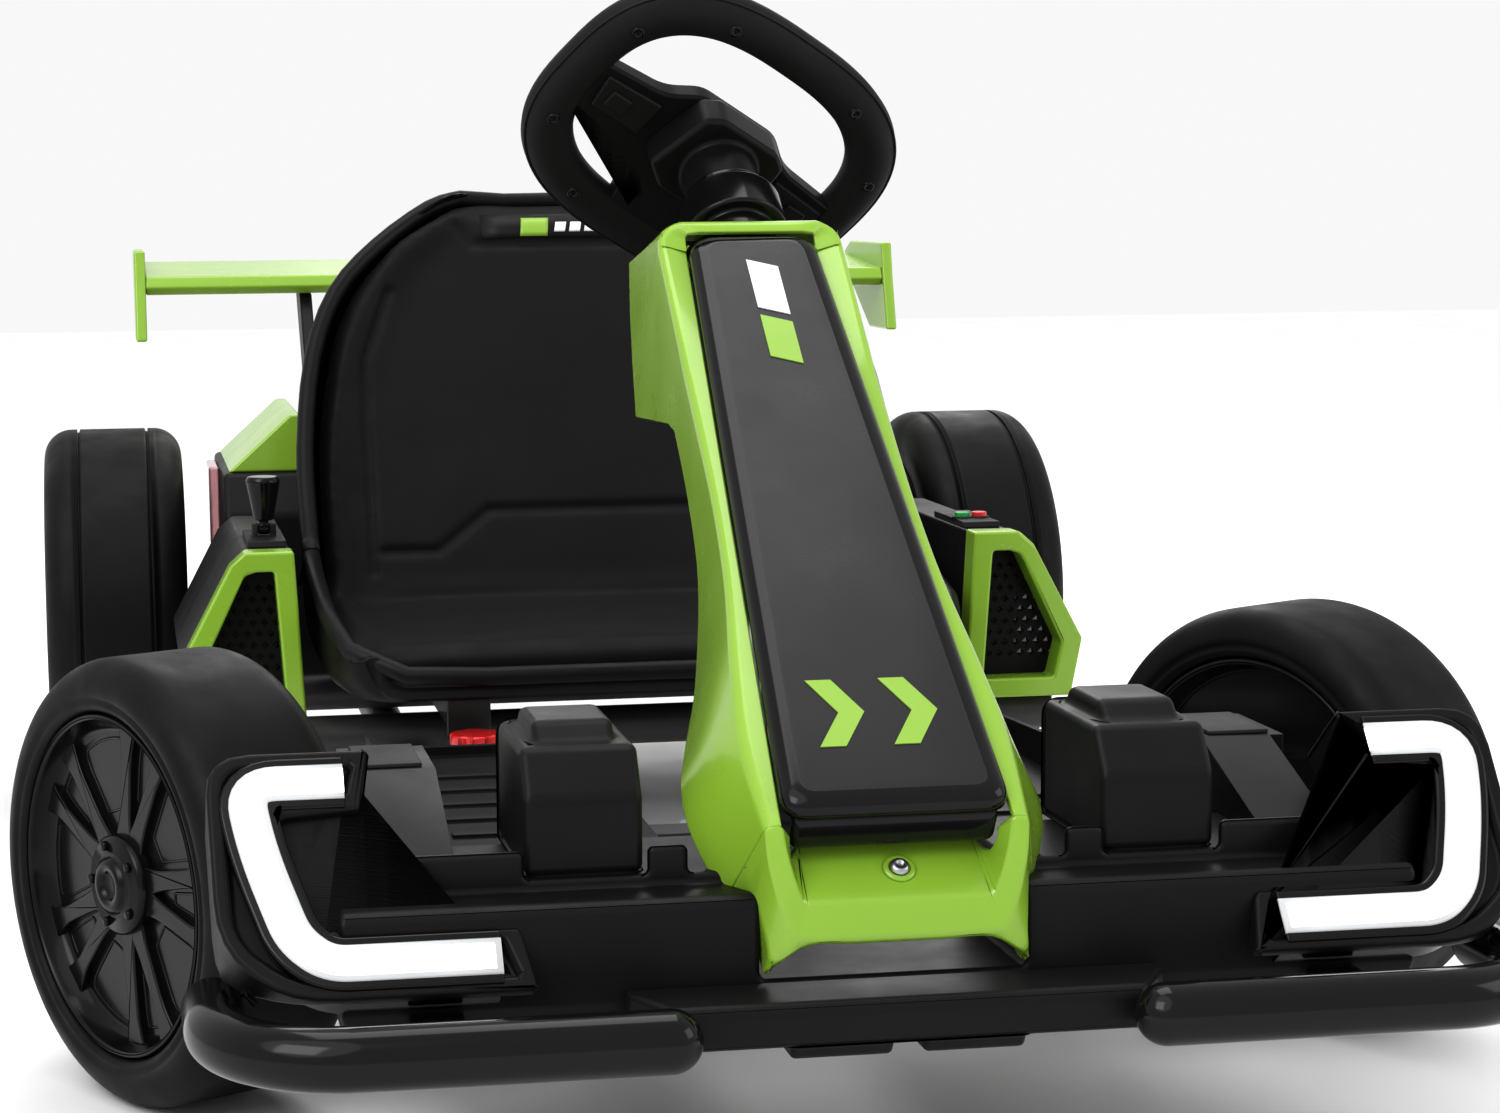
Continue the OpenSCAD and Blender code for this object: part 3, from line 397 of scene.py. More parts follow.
def dress(node, material, width=1.2, segments=3, angle=28, merge=True):
    """Gives a CAD node its material and rounds its edges; merge joins its flat faces first."""
    obj = frame["nodes"][node]
    obj.data.materials.clear()
    obj.data.materials.append(material)
    obj.data.polygons.foreach_set("use_smooth", [True] * len(obj.data.polygons))
    obj.data.polygons.foreach_set("material_index", [0] * len(obj.data.polygons))
    weld = obj.modifiers.new("weld", "WELD")
    weld.merge_threshold = WELD_DISTANCE
    if merge:
        flat = obj.modifiers.new("flat", "DECIMATE")
        flat.decimate_type = "DISSOLVE"
        flat.angle_limit = math.radians(FLAT_ANGLE)
    soften(obj, width, segments, angle)


SIDES = {"left": 1, "right": -1}


def dress_frame():
    for side in SIDES:
        dress(f"frame_rail_{side}", PAINTED, 1)
        dress(f"knuckle_{side}", PAINTED, 0.8)
    dress("frame_cross_tubes", PAINTED, 1)
    dress("front_axle_beam", PAINTED, 0.8)
    dress("seat_mount", PAINTED, 1)
    dress("rear_axle", STEEL, 1)
    dress("tie_rod", STEEL, 0.8)
    dress("steering_lower_shaft", STEEL, 0.8)
    dress("steering_column", STEEL, 0.8)
    dress("gear_motors", CASE, 3)
    dress("battery", CASE, 3)
    dress("accelerator_pedal", GRAINED, 1.2)


def dress_front():
    dress("bumper_deck", SATIN, 3, 4)
    dress("splitter", SATIN, 2.5, 4)
    dress("nose_base", GLOSS, 4, 4)
    dress("column_collar", GLOSS, 2, 4)
    for side in SIDES:
        dress(f"bumper_bar_{side}", GLOSS, 1)
        dress(f"toe_box_{side}", SATIN, 4, 4)
        dress(f"foot_tray_{side}", SATIN, 0.5, 2, 40, merge=False)
        dress(f"headlight_housing_{side}", SATIN, 2.5, 4)


# --- Wheels ---

GROOVE_W = 1.6
GROOVE_DEPTH = 2.4


def tyre_half(radius, half, seat, grooves):
    """(radius, height) outline of the outer half of a tyre, from the rim to the middle of the tread."""
    edge = half * 0.4
    points = [(seat, half - 12), (seat + 0.6, half - 4), (seat + 2.4, half - 1.6), (seat + 5, half - 0.8),
              (seat + 6.6, half - 2.2), (seat + 8.4, half - 0.8)]
    for k in range(13):
        a = math.radians(90 - 7 * k)
        points.append((radius - edge + edge * math.cos(a), half - edge + edge * math.sin(a) - 0.4))
    flat = half - edge
    for k in range(1, 9):
        z = flat * (1 - k / 8) - 0.4
        points.append((radius, z))
        for groove in grooves:
            if flat * (1 - (k + 1) / 8) - 0.4 < groove * half <= z:
                g = groove * half
                points += [(radius, g + GROOVE_W), (radius - GROOVE_DEPTH, g + GROOVE_W / 2),
                           (radius - GROOVE_DEPTH, g - GROOVE_W / 2), (radius, g - GROOVE_W)]
    return [p for p in points if p[1] >= 0]


def build_tyre(name, place, radius, half, seat, grooves):
    outer = tyre_half(radius, half, seat, grooves)
    profile = outer + [(r, -z) for r, z in reversed(outer) if z > 0.01]
    verts, faces = revolve_data(profile, 168)
    return make(name, verts, faces, place)


SPOKE_SETS = 5
SPOKE_STEP = 360 / SPOKE_SETS
SPOKE_SPREAD = 12
WEB_DEPTH = 15
WEB_THICK = 3
PLATE = -27
PLATE_THICK = 4
BOLT_CIRCLE = 20.5


def spoke(inner, outer, angle, top, bottom):
    """A spoke that widens at both ends."""
    outline = rounded([(inner, -8, 1), (inner + 14, -5.2, 8), (outer - 14, -4.6, 8), (outer, -8.5, 1),
                       (outer, 8.5, 1), (outer - 14, 4.6, 8), (inner + 14, 5.2, 8), (inner, 8, 1)], 4)
    return turned(prism_data(outline, bottom, top), spin(angle))


def build_rim(name, place, half, seat):
    """Gloss wheel: lip, bowl, five pairs of spokes, window beads, hub cap and bolts."""
    bowl = seat - 5
    web = half - WEB_DEPTH
    shell = revolve_data([
        (bowl - 3, PLATE), (seat - 4, -half + 5), (seat - 3.4, -half + 3.5), (seat - 1.5, -half + 3.2),
        (seat - 0.2, -half + 4), (seat - 0.2, half - 4), (seat - 1.5, half - 2.2), (seat - 3.4, half - 2.6),
        (seat - 4.2, half - 5), (bowl - 1.5, web + 3), (bowl - 5, web), (14, web), (14, web - WEB_THICK),
        (bowl - 7, web - WEB_THICK), (bowl - 7, PLATE + PLATE_THICK), (12.5, PLATE + PLATE_THICK),
        (12.5, PLATE)])
    spokes, beads, bolts = [], [], []
    for i in range(SPOKE_SETS):
        turn = SPOKE_STEP * i
        for k in (-1, 1):
            spokes.append(spoke(22, bowl - 1, turn + SPOKE_SPREAD * k, web + 4.2, web - 1))
        gap = turn + SPOKE_STEP / 2
        beads.append(window_bead(gap, 58 - 2 * SPOKE_SPREAD, 38, bowl - 9, web))
        beads.append(window_bead(turn, 2 * SPOKE_SPREAD - 13, 46, bowl - 9, web))
        bolt = disc_data([(0, web + 12), (1.8, web + 12), (2.5, web + 11.2), (2.6, web + 8), (0, web + 8)],
                         12)
        bolts.append(turned(bolt, spin(gap) @ Matrix.Translation((BOLT_CIRCLE, 0, 0))))
    rim = make(name, *joined(shell, *spokes), place)
    soften(rim, 1.3, 3, 35)
    hub = disc_data([(0, half - 5), (6, half - 5), (7, half - 4), (8, half - 1.8), (11.5, half - 1.6),
                     (13.6, half - 3), (14.6, half - 8), (15.2, web + 11), (17, web + 9.2), (23.5, web + 9.2),
                     (25.5, web + 7.6), (26.2, web + 3), (26.2, web - 1), (0, web - 1)], 96)
    return rim, make(name + "_trim", *joined(hub, *bolts, *beads), place)


def window_bead(angle, width, inner, outer, z):
    """Thin raised line round a window between spokes: width is the window's angle at its outer edge."""
    half = math.radians(width / 2)
    reach = [(inner, 0.62 * half), (outer - 5, 0.97 * half)]
    path = [(r * math.cos(a), r * math.sin(a)) for r, a in reach]
    steps = 8
    path += [(outer * math.cos(a), outer * math.sin(a))
             for a in (half * 0.86 * (1 - 2 * k / steps) for k in range(steps + 1))]
    path += [(r * math.cos(a), -r * math.sin(a)) for r, a in reversed(reach)]
    path = rounded([(x, y, 5 if i in (1, len(path) - 2) else 1) for i, (x, y) in enumerate(path)], 2)
    return turned(bead_data(path, z, 0.75), spin(angle))


def bead_data(path, z, size, sides=6):
    """A thin round bead along a closed flat path."""
    rings = []
    n = len(path)
    for i, p in enumerate(path):
        ahead = Vector(path[(i + 1) % n]) - Vector(path[i - 1])
        side = Vector((ahead.y, -ahead.x)).normalized()
        ring = []
        for k in range(sides):
            a = 2 * math.pi * k / sides
            ring.append((p[0] + side.x * size * math.cos(a), p[1] + side.y * size * math.cos(a),
                         z + size * math.sin(a)))
        rings.append(ring)
    return loft_data(rings, closed=True)


def build_wheel(end, side):
    joint = JOINTS[f"{end}_wheel_{side}_spin"]
    out = Vector(joint["axis"]).normalized() * SIDES[side]
    centre = Vector(joint["pos_m"])
    tyre_node, rim_node = f"{end}_tyre_{side}", f"{end}_rim_{side}"
    lo, hi = span(tyre_node, out, centre)
    half = (hi - lo) / 2
    radius = reach_round(tyre_node, out, centre)
    seat = reach_round(rim_node, out, centre)
    place = axes_frame(centre, Vector((0, 0, 1)).cross(out), Vector((0, 0, 1)), out)
    body = f"{end}_wheel_{side}"
    grooves = (0.62, 0.5) if end == "rear" else ()
    tyre = build_tyre(f"{end}_tyre_skin_{side}", place, radius, half, seat, grooves)
    piece(tyre, body, TYRE, "tyre", tyre_node)
    rim, trim = build_rim(f"{end}_rim_skin_{side}", place, half, seat)
    piece(rim, body, RIM, "rim_black", rim_node)
    piece(trim, body, RIM, "rim_black")
    ring = make(f"{end}_hub_ring_{side}", *revolve_data(
        [(10.2, -30.5), (11.4, -31), (13.6, -31), (14.4, -30), (14.4, -27), (10.2, -27)], 64), place)
    piece(ring, body, STEEL, "bright_steel")


def build_wheels():
    for end in ("front", "rear"):
        for side in SIDES:
            build_wheel(end, side)


# --- Headlights ---

LAMP_LEAN = 38.7
# Middle line of a lit bar: x outwards, y up the face and the radius of each corner
LAMP_CORNERS = [(176, 8.5, 1), (252, 8.5, 9), (266, 21, 9), (279, 62, 40), (284.5, 96.5, 15), (239, 96.5, 1)]
LAMP_STEPS = 8
CORE_INSET = 3
# Parts of a lamp: half width of its bar and its (half-width taken off, height) levels
BEZEL_BAR = (13, [(0, -24), (0, -1.2), (1.2, 0.2)])
EDGE_BAR = (8.6, [(0, -5), (0, 0.3), (0.8, 0.9)])
CORE_BAR = (6, [(0, -1), (0, 1), (1.6, 1.7)])


def lamp_place(side):
    """Local frame of a lamp face: x outwards, y up the face and z square to it."""
    lean = math.radians(LAMP_LEAN)
    up = Vector((0, math.sin(lean), math.cos(lean)))
    out = Vector((SIDES[side], 0, 0))
    normal = Vector((0, -math.cos(lean), math.sin(lean)))
    node = f"headlight_lens_{side}"
    low = span(node, up)[0] * MM
    face = span(node, normal)[1] * MM
    return axes_frame(up * low + normal * face, out, up, normal)


def lens_rings(centre, half, levels):
    """Rings of a bar along an open path: levels are (half-width taken off, height)."""
    n = len(centre)
    sides = []
    for i, p in enumerate(centre):
        ahead = Vector(centre[min(i + 1, n - 1)]) - Vector(centre[max(i - 1, 0)])
        sides.append(Vector((ahead.y, -ahead.x)).normalized())
    rings = []
    for cut, z in levels:
        ring = [(p[0] + s.x * (half - cut), p[1] + s.y * (half - cut), z) for p, s in zip(centre, sides)]
        ring += [(p[0] - s.x * (half - cut), p[1] - s.y * (half - cut), z)
                 for p, s in reversed(list(zip(centre, sides)))]
        rings.append(ring)
    return rings


def lamp_line(corners):
    """Middle line of a bar, without the curve that would close it."""
    return rounded(corners, LAMP_STEPS)[LAMP_STEPS:-LAMP_STEPS]


def build_headlights():
    (x, y, r), *others = LAMP_CORNERS
    centre = lamp_line(LAMP_CORNERS)
    inner = lamp_line([(x + CORE_INSET, y, r), *others])
    for side in SIDES:
        place = lamp_place(side)
        bezel = make(f"lamp_bezel_{side}", *loft_data(lens_rings(centre, *BEZEL_BAR)), place)
        soften(bezel, 0.8, 3)
        piece(bezel, "chassis", GLOSS, "gloss_black")
        edge = make(f"lamp_border_{side}", *loft_data(lens_rings(centre, *EDGE_BAR)), place)
        piece(edge, "chassis", LIT_EDGE, "lens", f"headlight_lens_{side}")
        core = make(f"lamp_core_{side}", *loft_data(lens_rings(inner, *CORE_BAR)), place)
        piece(core, "chassis", LIT, "lens")


# --- Nose ---

NOSE_SLOPE = 38.5
PANEL_LIP_W = 52
PANEL_TOP_W = 34
PANEL_L = 396
PANEL_CORNER = 12
PANEL_GAP = 0.6


def nose_place():
    """Local frame of the nose's face, y up the slope from the panel's lip, and the panel's reach."""
    slope = math.radians(NOSE_SLOPE)
    up = Vector((0, math.cos(slope), math.sin(slope)))
    normal = Vector((0, -math.sin(slope), math.cos(slope)))
    low = span("nose_panel", up)[0] * MM
    face = span("nose_panel", normal)[1] * MM
    return axes_frame(up * low + normal * face, Vector((1, 0, 0)), up, normal), span("nose_panel", up)


def panel_half_width(t):
    return PANEL_LIP_W - (PANEL_LIP_W - PANEL_TOP_W) * t / PANEL_L


def panel_outline(length, inset):
    w0, w1 = PANEL_LIP_W - inset, PANEL_TOP_W - inset
    r = max(PANEL_CORNER - inset * 0.5, 2)
    return rounded([(w0, inset, r), (w1, length - inset, r * 1.2), (-w1, length - inset, r * 1.2),
                    (-w0, inset, r)], 8)


def build_nose_panel():
    place, (lo, hi) = nose_place()
    length = hi - lo
    levels = [(0, -9), (0, -6.5), (0.6, -4.2), (2.2, -2.2), (4.6, -0.9), (8, -0.3), (9, -0.25)]
    rings = [[(x, y, z) for x, y in panel_outline(length, inset)] for inset, z in levels]
    verts, faces = loft_data(rings)
    panel = make("nose_panel_skin", verts, faces, place)
    panel.data.materials.append(GLOSS)
    panel.data.materials.append(PANEL)
    panel.data.polygons[len(faces) - 1].material_index = 1
    piece(panel, "chassis", GLOSS, "gloss_black", "nose_panel")
    build_marks(place, length)


MARK_SINK = -0.3
MARK_LIFT = 0.35


def build_marks(place, length):
    """Plain chevrons and stripes in the places of the number and of the words."""
    outlines = {
        "nose_chevrons": [[(x - 11, 34), (x + 1, 34), (x + 13, 54), (x + 1, 74), (x - 11, 74), (x + 1, 54)]
                          for x in (-19, 15)],
        "nose_bar_green": [[(-7, length - 100), (9, length - 106), (9, length - 74), (-7, length - 68)]],
        "nose_bar_white": [[(-7, length - 62), (9, length - 68), (9, length - 30), (-7, length - 24)]],
    }
    for name, shapes in outlines.items():
        solids = [prism_data(shape, MARK_SINK, MARK_LIFT) for shape in shapes]
        mark = make(name, *joined(*solids), place, False)
        if name == "nose_bar_white":
            piece(mark, "chassis", MARK_WHITE, "lens")
        else:
            piece(mark, "chassis", MARK_GREEN, "green_plastic")


# Rows up the nose: place on the slope, half widths of shoulder and skirt, depth of the skirt
NOSE_ROWS = [(-2, 60, 72, 52), (30, 61, 83, 45), (60, 61, 83, 48), (100, 58, 73, 66), (150, 53, 59, 76),
             (200, 50.5, 52, 56), (250, 50, 50.5, 47), (300, 50, 50, 46)]
# The head of the nose: half width, corner radius, and places on the slope with their depths
HEAD_W = 50
HEAD_CORNER = 13
HEAD_START = 303
HEAD_TOP = 404
HEAD_SIDE = 391
HEAD_SIDE_DROP = 128
HEAD_BACK = 466
HEAD_DROP = 79
HEAD_STEPS = 7
NOSE_EDGE = -9
NOSE_WALL = 3.4


def nose_station(inner, top, low):
    """Points from the panel's edge, over a rounded shoulder, down to the skirt's edge."""
    inner, top, low = Vector(inner), Vector(top), Vector(low)
    inward, down = (inner - top).normalized(), (low - top).normalized()
    start, end = top + inward * min(4.5, (inner - top).length * 0.5), top + down * 5
    bend = [(1 - t) ** 2 * start + 2 * t * (1 - t) * top + t * t * end for t in (0, 0.25, 0.5, 0.75, 1)]
    flank = [end.lerp(low, t) for t in (0.33, 0.66, 1)]
    return [inner, *bend, *flank]


def nose_side():
    """Stations up one side of the nose, round the head's corner to the middle of its top."""
    stations = []
    for t, w1, w2, drop in smooth_path(NOSE_ROWS, 5):
        edge = panel_half_width(t) + PANEL_GAP
        top, low = (w1, t, NOSE_EDGE - 0.8), (w2, t, NOSE_EDGE - drop)
        stations.append(nose_station((edge, t, NOSE_EDGE), top, low))
    for k in range(1, HEAD_STEPS + 1):
        t = HEAD_START + (HEAD_SIDE - HEAD_START) * k / HEAD_STEPS
        low = -53 - (HEAD_SIDE_DROP - 53) * k / HEAD_STEPS
        edge = panel_half_width(t) + PANEL_GAP
        lift = 4 * k / HEAD_STEPS
        stations.append(nose_station((edge, t, NOSE_EDGE), (HEAD_W, t, NOSE_EDGE + lift), (HEAD_W, t, low)))
    for k in range(HEAD_STEPS):
        a = math.radians(15 * k)
        x = HEAD_W - HEAD_CORNER + HEAD_CORNER * math.cos(a)
        top_t = HEAD_TOP - HEAD_CORNER + HEAD_CORNER * math.sin(a)
        share = min(1, (k + 1) / 3)
        back = HEAD_SIDE + (HEAD_BACK - HEAD_SIDE) * share
        low = -HEAD_SIDE_DROP + (HEAD_SIDE_DROP - HEAD_DROP) * share
        rise = k - 5
        inner = (min(x - 4, PANEL_TOP_W + PANEL_GAP), min(PANEL_L + PANEL_GAP, top_t - 3), rise - 3)
        stations.append(nose_station(inner, (x, top_t, rise), (x, back, low)))
    for x in (28, 18, 9, 0):
        inner = (x, PANEL_L + PANEL_GAP, -1)
        stations.append(nose_station(inner, (x, HEAD_TOP, 1), (x, HEAD_BACK, -HEAD_DROP)))
    return stations


def build_nose_frame():
    shell = make("nose_frame_skin", *strip_data(mirrored(nose_side())), nose_place()[0])
    thicken(shell, -NOSE_WALL, 1)
    soften(shell, 0.9, 3, 40)
    piece(shell, "chassis", GREEN, "green_plastic", "nose_frame")


# Stations round one side of the apron, from the flank to the middle of the lip: each runs from
# the dark base over the border's inner and outer edges to the hem
APRON = [
    [(46.8, -280, 178), (52.6, -288, 184.7), (60, -287.5, 184), (66, -271, 164), (72, -255.6, 144)],
    [(46.6, -279, 172), (50.5, -289.5, 173), (58.8, -290, 169), (62.5, -279, 150), (62, -262, 132)],
    [(45, -273, 166.5), (46.8, -290.5, 160), (54.5, -292, 152), (60, -287, 135), (60, -276, 119)],
    [(42, -266, 169), (43, -290.6, 150.8), (48, -294, 137), (57, -292.5, 124), (59.5, -288, 119)],
    [(38, -264, 171), (39, -290.6, 150), (42, -294.2, 134.4), (42, -293, 131), (42, -284, 130)],
    [(20, -264, 171), (20, -290.6, 150), (20, -294.2, 134), (20, -293, 131), (20, -284, 130)],
    [(0, -264, 171), (0, -290.6, 150), (0, -294.2, 134), (0, -293, 131), (0, -284, 130)],
]
APRON_WALL = 3
APRON_SCREW = (3, -278, 160.6)


def build_apron():
    """The border that runs down from the flanks round the chin, and its screw."""
    rows = smooth_path([[c for p in station for c in p] for station in APRON], 4)
    half = [[Vector(row[i:i + 3]) for i in range(0, len(row), 3)] for row in rows]
    apron = make("nose_apron", *strip_data(mirrored(half), flip=True), front_place())
    thicken(apron, APRON_WALL, -1)
    soften(apron, 1.6, 4, 16)
    piece(apron, "chassis", GREEN, "green_plastic")
    head = revolve_data([(0, 1.6), (1.4, 1.6), (1.6, 3.2), (3.6, 2.8), (4.6, 1.4), (4.8, 0)], 24)
    seat = revolve_data([(4.6, 0.6), (5.4, 1), (7.2, 0.8), (7.8, -0.6)], 28)
    slope = math.radians(NOSE_SLOPE)
    spot = front_place() @ Matrix.Translation(APRON_SCREW) @ Matrix.Rotation(slope, 4, "X")
    piece(make("nose_screw", *head, spot), "chassis", STEEL, "bright_steel")
    piece(make("nose_screw_seat", *seat, spot), "chassis", GREEN, "green_plastic")


def build_nose():
    build_nose_panel()
    build_nose_frame()
    build_apron()


# --- Seat ---

# Rows up the seat: distance behind the front axle, height, lean, half width and height of the sides
SEAT_ROWS = [(307, 154, 4, 184, 14), (319, 152, 2, 198, 26), (357, 150, 0, 208, 44), (437, 150, 0, 210, 58),
             (502, 152, 6, 210, 70), (530, 160, 30, 210, 76), (548, 178, 55, 210, 74),
             (560, 207, 68, 210, 66), (584, 267, 69, 210, 54), (611, 332, 69, 201, 44),
             (630, 380, 69, 182, 34), (644, 416, 69, 150, 24), (656, 446, 69, 110, 14), (660, 455, 69, 86, 9)]
SEAT_WALL = 9
SHELL_CORNER = 28
LIP_R = 6
LIP_SIDES = 14
# Turns of the shell's lower corner, in steps of fifteen degrees
CORNER_TURNS = [math.pi / 12 * k for k in range(7)]

PAD_THICK = 19
PAD_GAP = 1.2
PAD_CORNER = 20
PAD_LOW_EDGE = 9


def seat_points(row, half):
    """A cross-section of the seat, from the (across, above the pan) points of its right half."""
    y, z, lean = row[0], row[1], math.radians(row[2])
    flat = half + [(-x, h) for x, h in reversed(half)]
    return [(x, y - h * math.sin(lean), z + h * math.cos(lean)) for x, h in flat]


def shell_section(row):
    w, h = row[3], row[4]
    r = min(SHELL_CORNER, w * 0.3)
    t = SEAT_WALL
    outer = [(w - r + r * math.sin(a), -t + r - r * math.cos(a)) for a in CORNER_TURNS]
    inner = [(w - r + (r - t) * math.sin(a), -t + r - (r - t) * math.cos(a)) for a in reversed(CORNER_TURNS)]
    top = max(h, r - t + 2)
    lip = [(w + 0.5, top - 5), (w + 0.2, top - 1.5), (w - 1.8, top), (w - t + 2, top), (w - t, top - 2)]
    return seat_points(row, outer + lip + inner)


def pad_section(row, grow):
    w, h = row[3] - SEAT_WALL - PAD_GAP + grow, row[4]
    r = min(PAD_CORNER, w * 0.3, max(h, PAD_LOW_EDGE))
    low_r = min(r, PAD_LOW_EDGE)
    thick = min(PAD_THICK, h + 2) + grow
    low = [(w - r + r * math.sin(a), PAD_GAP + r - r * math.cos(a)) for a in CORNER_TURNS[::2]]
    top = max(min(thick + 9, h + 4), PAD_GAP + low_r + 1)
    return seat_points(row, low + [
        (w, max(top, low_r + 3)), (w - 4, top + 3), (w - 14, top + 2), (w - 26, thick + 2), (w - 40, thick),
        (w * 0.5, thick + 1)])


def build_seat_shell():
    rings = [shell_section(row) for row in smooth_path(SEAT_ROWS, 5)]
    shell = make("seat_shell_skin", *loft_data(rings), front_place())
    soften(shell, 2, 3, 50)
    piece(shell, "seat", SATIN, "black_plastic", "seat_shell")


def build_seat_lip():
    """The rolled edge that runs round the whole shell."""
    half = [(0, 303, 160), (110, 303, 160), (160, 304, 162)]
    for row in smooth_path(SEAT_ROWS[1:], 3):
        half.append(seat_points(row, [(row[3] - 3.5, row[4] - 1)])[0])
    half += [(50, 656, 455.5), (0, 656, 456)]
    path = half + [(-x, y, z) for x, y, z in reversed(half[1:-1])]
    n = len(path)
    rings = []
    for i, p in enumerate(path):
        ahead = (Vector(path[(i + 1) % n]) - Vector(path[i - 1])).normalized()
        side = ahead.cross(Vector((0, -0.6, 0.8))).normalized()
        up = side.cross(ahead)
        rings.append([tuple(Vector(p) + side * LIP_R * math.cos(a) + up * LIP_R * math.sin(a))
                      for a in (2 * math.pi * k / LIP_SIDES for k in range(LIP_SIDES))])
    piece(make("seat_lip", *loft_data(rings, closed=True), front_place()), "seat", SATIN, "black_plastic")


def apply_modifiers(obj):
    """Makes the shape that the modifiers give the object's own."""
    graph = bpy.context.evaluated_depsgraph_get()
    mesh = bpy.data.meshes.new_from_object(obj.evaluated_get(graph))
    obj.modifiers.clear()
    obj.data = mesh


SWELL_LIMIT = 5
SWELL_FRAMES = 16
SWELL_PRESSURE = 3.5
VOXEL = 0.005


def swell(obj):
    """Inflates a pad as cloth, and lets no point move further than the limit."""
    before = [v.co.copy() for v in obj.data.vertices]
    cloth = obj.modifiers.new("cloth", "CLOTH")
    cloth.settings.use_pressure = True
    cloth.settings.uniform_pressure_force = SWELL_PRESSURE
    cloth.settings.quality = 4
    cloth.settings.tension_stiffness = 30
    cloth.settings.compression_stiffness = 30
    cloth.settings.effector_weights.gravity = 0
    scene = bpy.context.scene
    for step in range(1, SWELL_FRAMES + 1):
        scene.frame_set(step)
    graph = bpy.context.evaluated_depsgraph_get()
    after = [v.co.copy() for v in obj.evaluated_get(graph).data.vertices]
    obj.modifiers.clear()
    scene.frame_set(1)
    for v, a, b in zip(obj.data.vertices, before, after):
        d = b - a
        if d.length > SWELL_LIMIT * MM:
            d = d.normalized() * SWELL_LIMIT * MM
        v.co = a + d


# Sewn lines on the pad as (across, height) corners: over the back, under the label and down the sides
BACK_SEAM = [(-152, 213), (-114, 213), (-77, 240), (77, 240), (114, 213), (152, 213)]
LABEL_SEAM = [(-88, 440), (-77, 426), (77, 426), (88, 440)]
SIDE_SEAM = [(160, 200), (160, 300), (158, 345), (140, 392)]
SEAM_DEPTH = 3.2
SEAM_WIDTH = 3.4
SEAMS_FROM = 195
FACES_FRONT = -0.2


def distance_to(path, x, z):
    """Shortest distance from a point to a line through corners."""
    best = 1e9
    for (x0, z0), (x1, z1) in zip(path, path[1:]):
        dx, dz = x1 - x0, z1 - z0
        t = max(0, min(1, ((x - x0) * dx + (z - z0) * dz) / (dx * dx + dz * dz)))
        best = min(best, math.hypot(x - x0 - t * dx, z - z0 - t * dz))
    return best


def sew(obj):
    """Sinks the sewn lines into the front of the pad."""
    obj.data.update()
    paths = [BACK_SEAM, LABEL_SEAM, SIDE_SEAM, [(-x, z) for x, z in SIDE_SEAM]]
    moves = []
    for v in obj.data.vertices:
        x, z = v.co.x / MM, v.co.z / MM
        if v.normal.y > FACES_FRONT or z < SEAMS_FROM:
            continue
        near = min(distance_to(path, x, z) for path in paths)
        if near < 4 * SEAM_WIDTH:
            moves.append((v, v.normal * SEAM_DEPTH * MM * math.exp(-(near / SEAM_WIDTH) ** 2)))
    for v, move in moves:
        v.co -= move


def build_seat_pad():
    rows = smooth_path(SEAT_ROWS[2:], 5)
    grow = -2
    pad = make("seat_cushion", *loft_data([pad_section(row, grow) for row in rows]), front_place())
    remesh = pad.modifiers.new("voxels", "REMESH")
    remesh.mode = "VOXEL"
    remesh.voxel_size = VOXEL
    apply_modifiers(pad)
    swell(pad)
    relax = pad.modifiers.new("relax", "SMOOTH")
    relax.iterations = 6
    relax.factor = 0.5
    finer = pad.modifiers.new("finer", "SUBSURF")
    finer.levels = 1
    finer.render_levels = 1
    apply_modifiers(pad)
    sew(pad)
    pad.data.polygons.foreach_set("use_smooth", [True] * len(pad.data.polygons))
    piece(pad, "seat", SEAT, "seat_soft", "seat_pad")
    build_seat_label(pad)


PATCH_ACROSS = 10
PATCH_HIGH = 4
PATCH_SINK = 1.5


def laid_on(target, name, x0, x1, z0, z1, lift, slant=0.0):
    """A thin patch laid on the front of the pad, lift millimetres off it."""
    verts = []
    for level in (lift, -PATCH_SINK):
        for j in range(PATCH_HIGH + 1):
            for i in range(PATCH_ACROSS + 1):
                z = z0 + (z1 - z0) * j / PATCH_HIGH
                x = x0 + (x1 - x0) * i / PATCH_ACROSS + slant * j / PATCH_HIGH
                hit, spot = target.ray_cast(Vector((x, -700, z)) * MM, Vector((0, 1, 0)))[:2]
                spot = spot if hit else Vector((x, 0, z)) * MM
                verts.append(spot / MM - Vector((0, level, 0)))
    wide = PATCH_ACROSS + 1
    back = (PATCH_HIGH + 1) * wide
    faces = [(j * wide + i, j * wide + i + 1, (j + 1) * wide + i + 1, (j + 1) * wide + i)
             for j in range(PATCH_HIGH) for i in range(PATCH_ACROSS)]
    rim = list(range(wide))
    rim += [j * wide + PATCH_ACROSS for j in range(1, PATCH_HIGH + 1)]
    rim += [PATCH_HIGH * wide + i for i in range(PATCH_ACROSS - 1, -1, -1)]
    rim += [j * wide for j in range(PATCH_HIGH - 1, 0, -1)]
    for a, b in zip(rim, rim[1:] + rim[:1]):
        faces.append((a, back + a, back + b, b))
    return make(name, verts, faces)


LABEL_LIFT = 1.8
LABEL_SLANT = 1.5


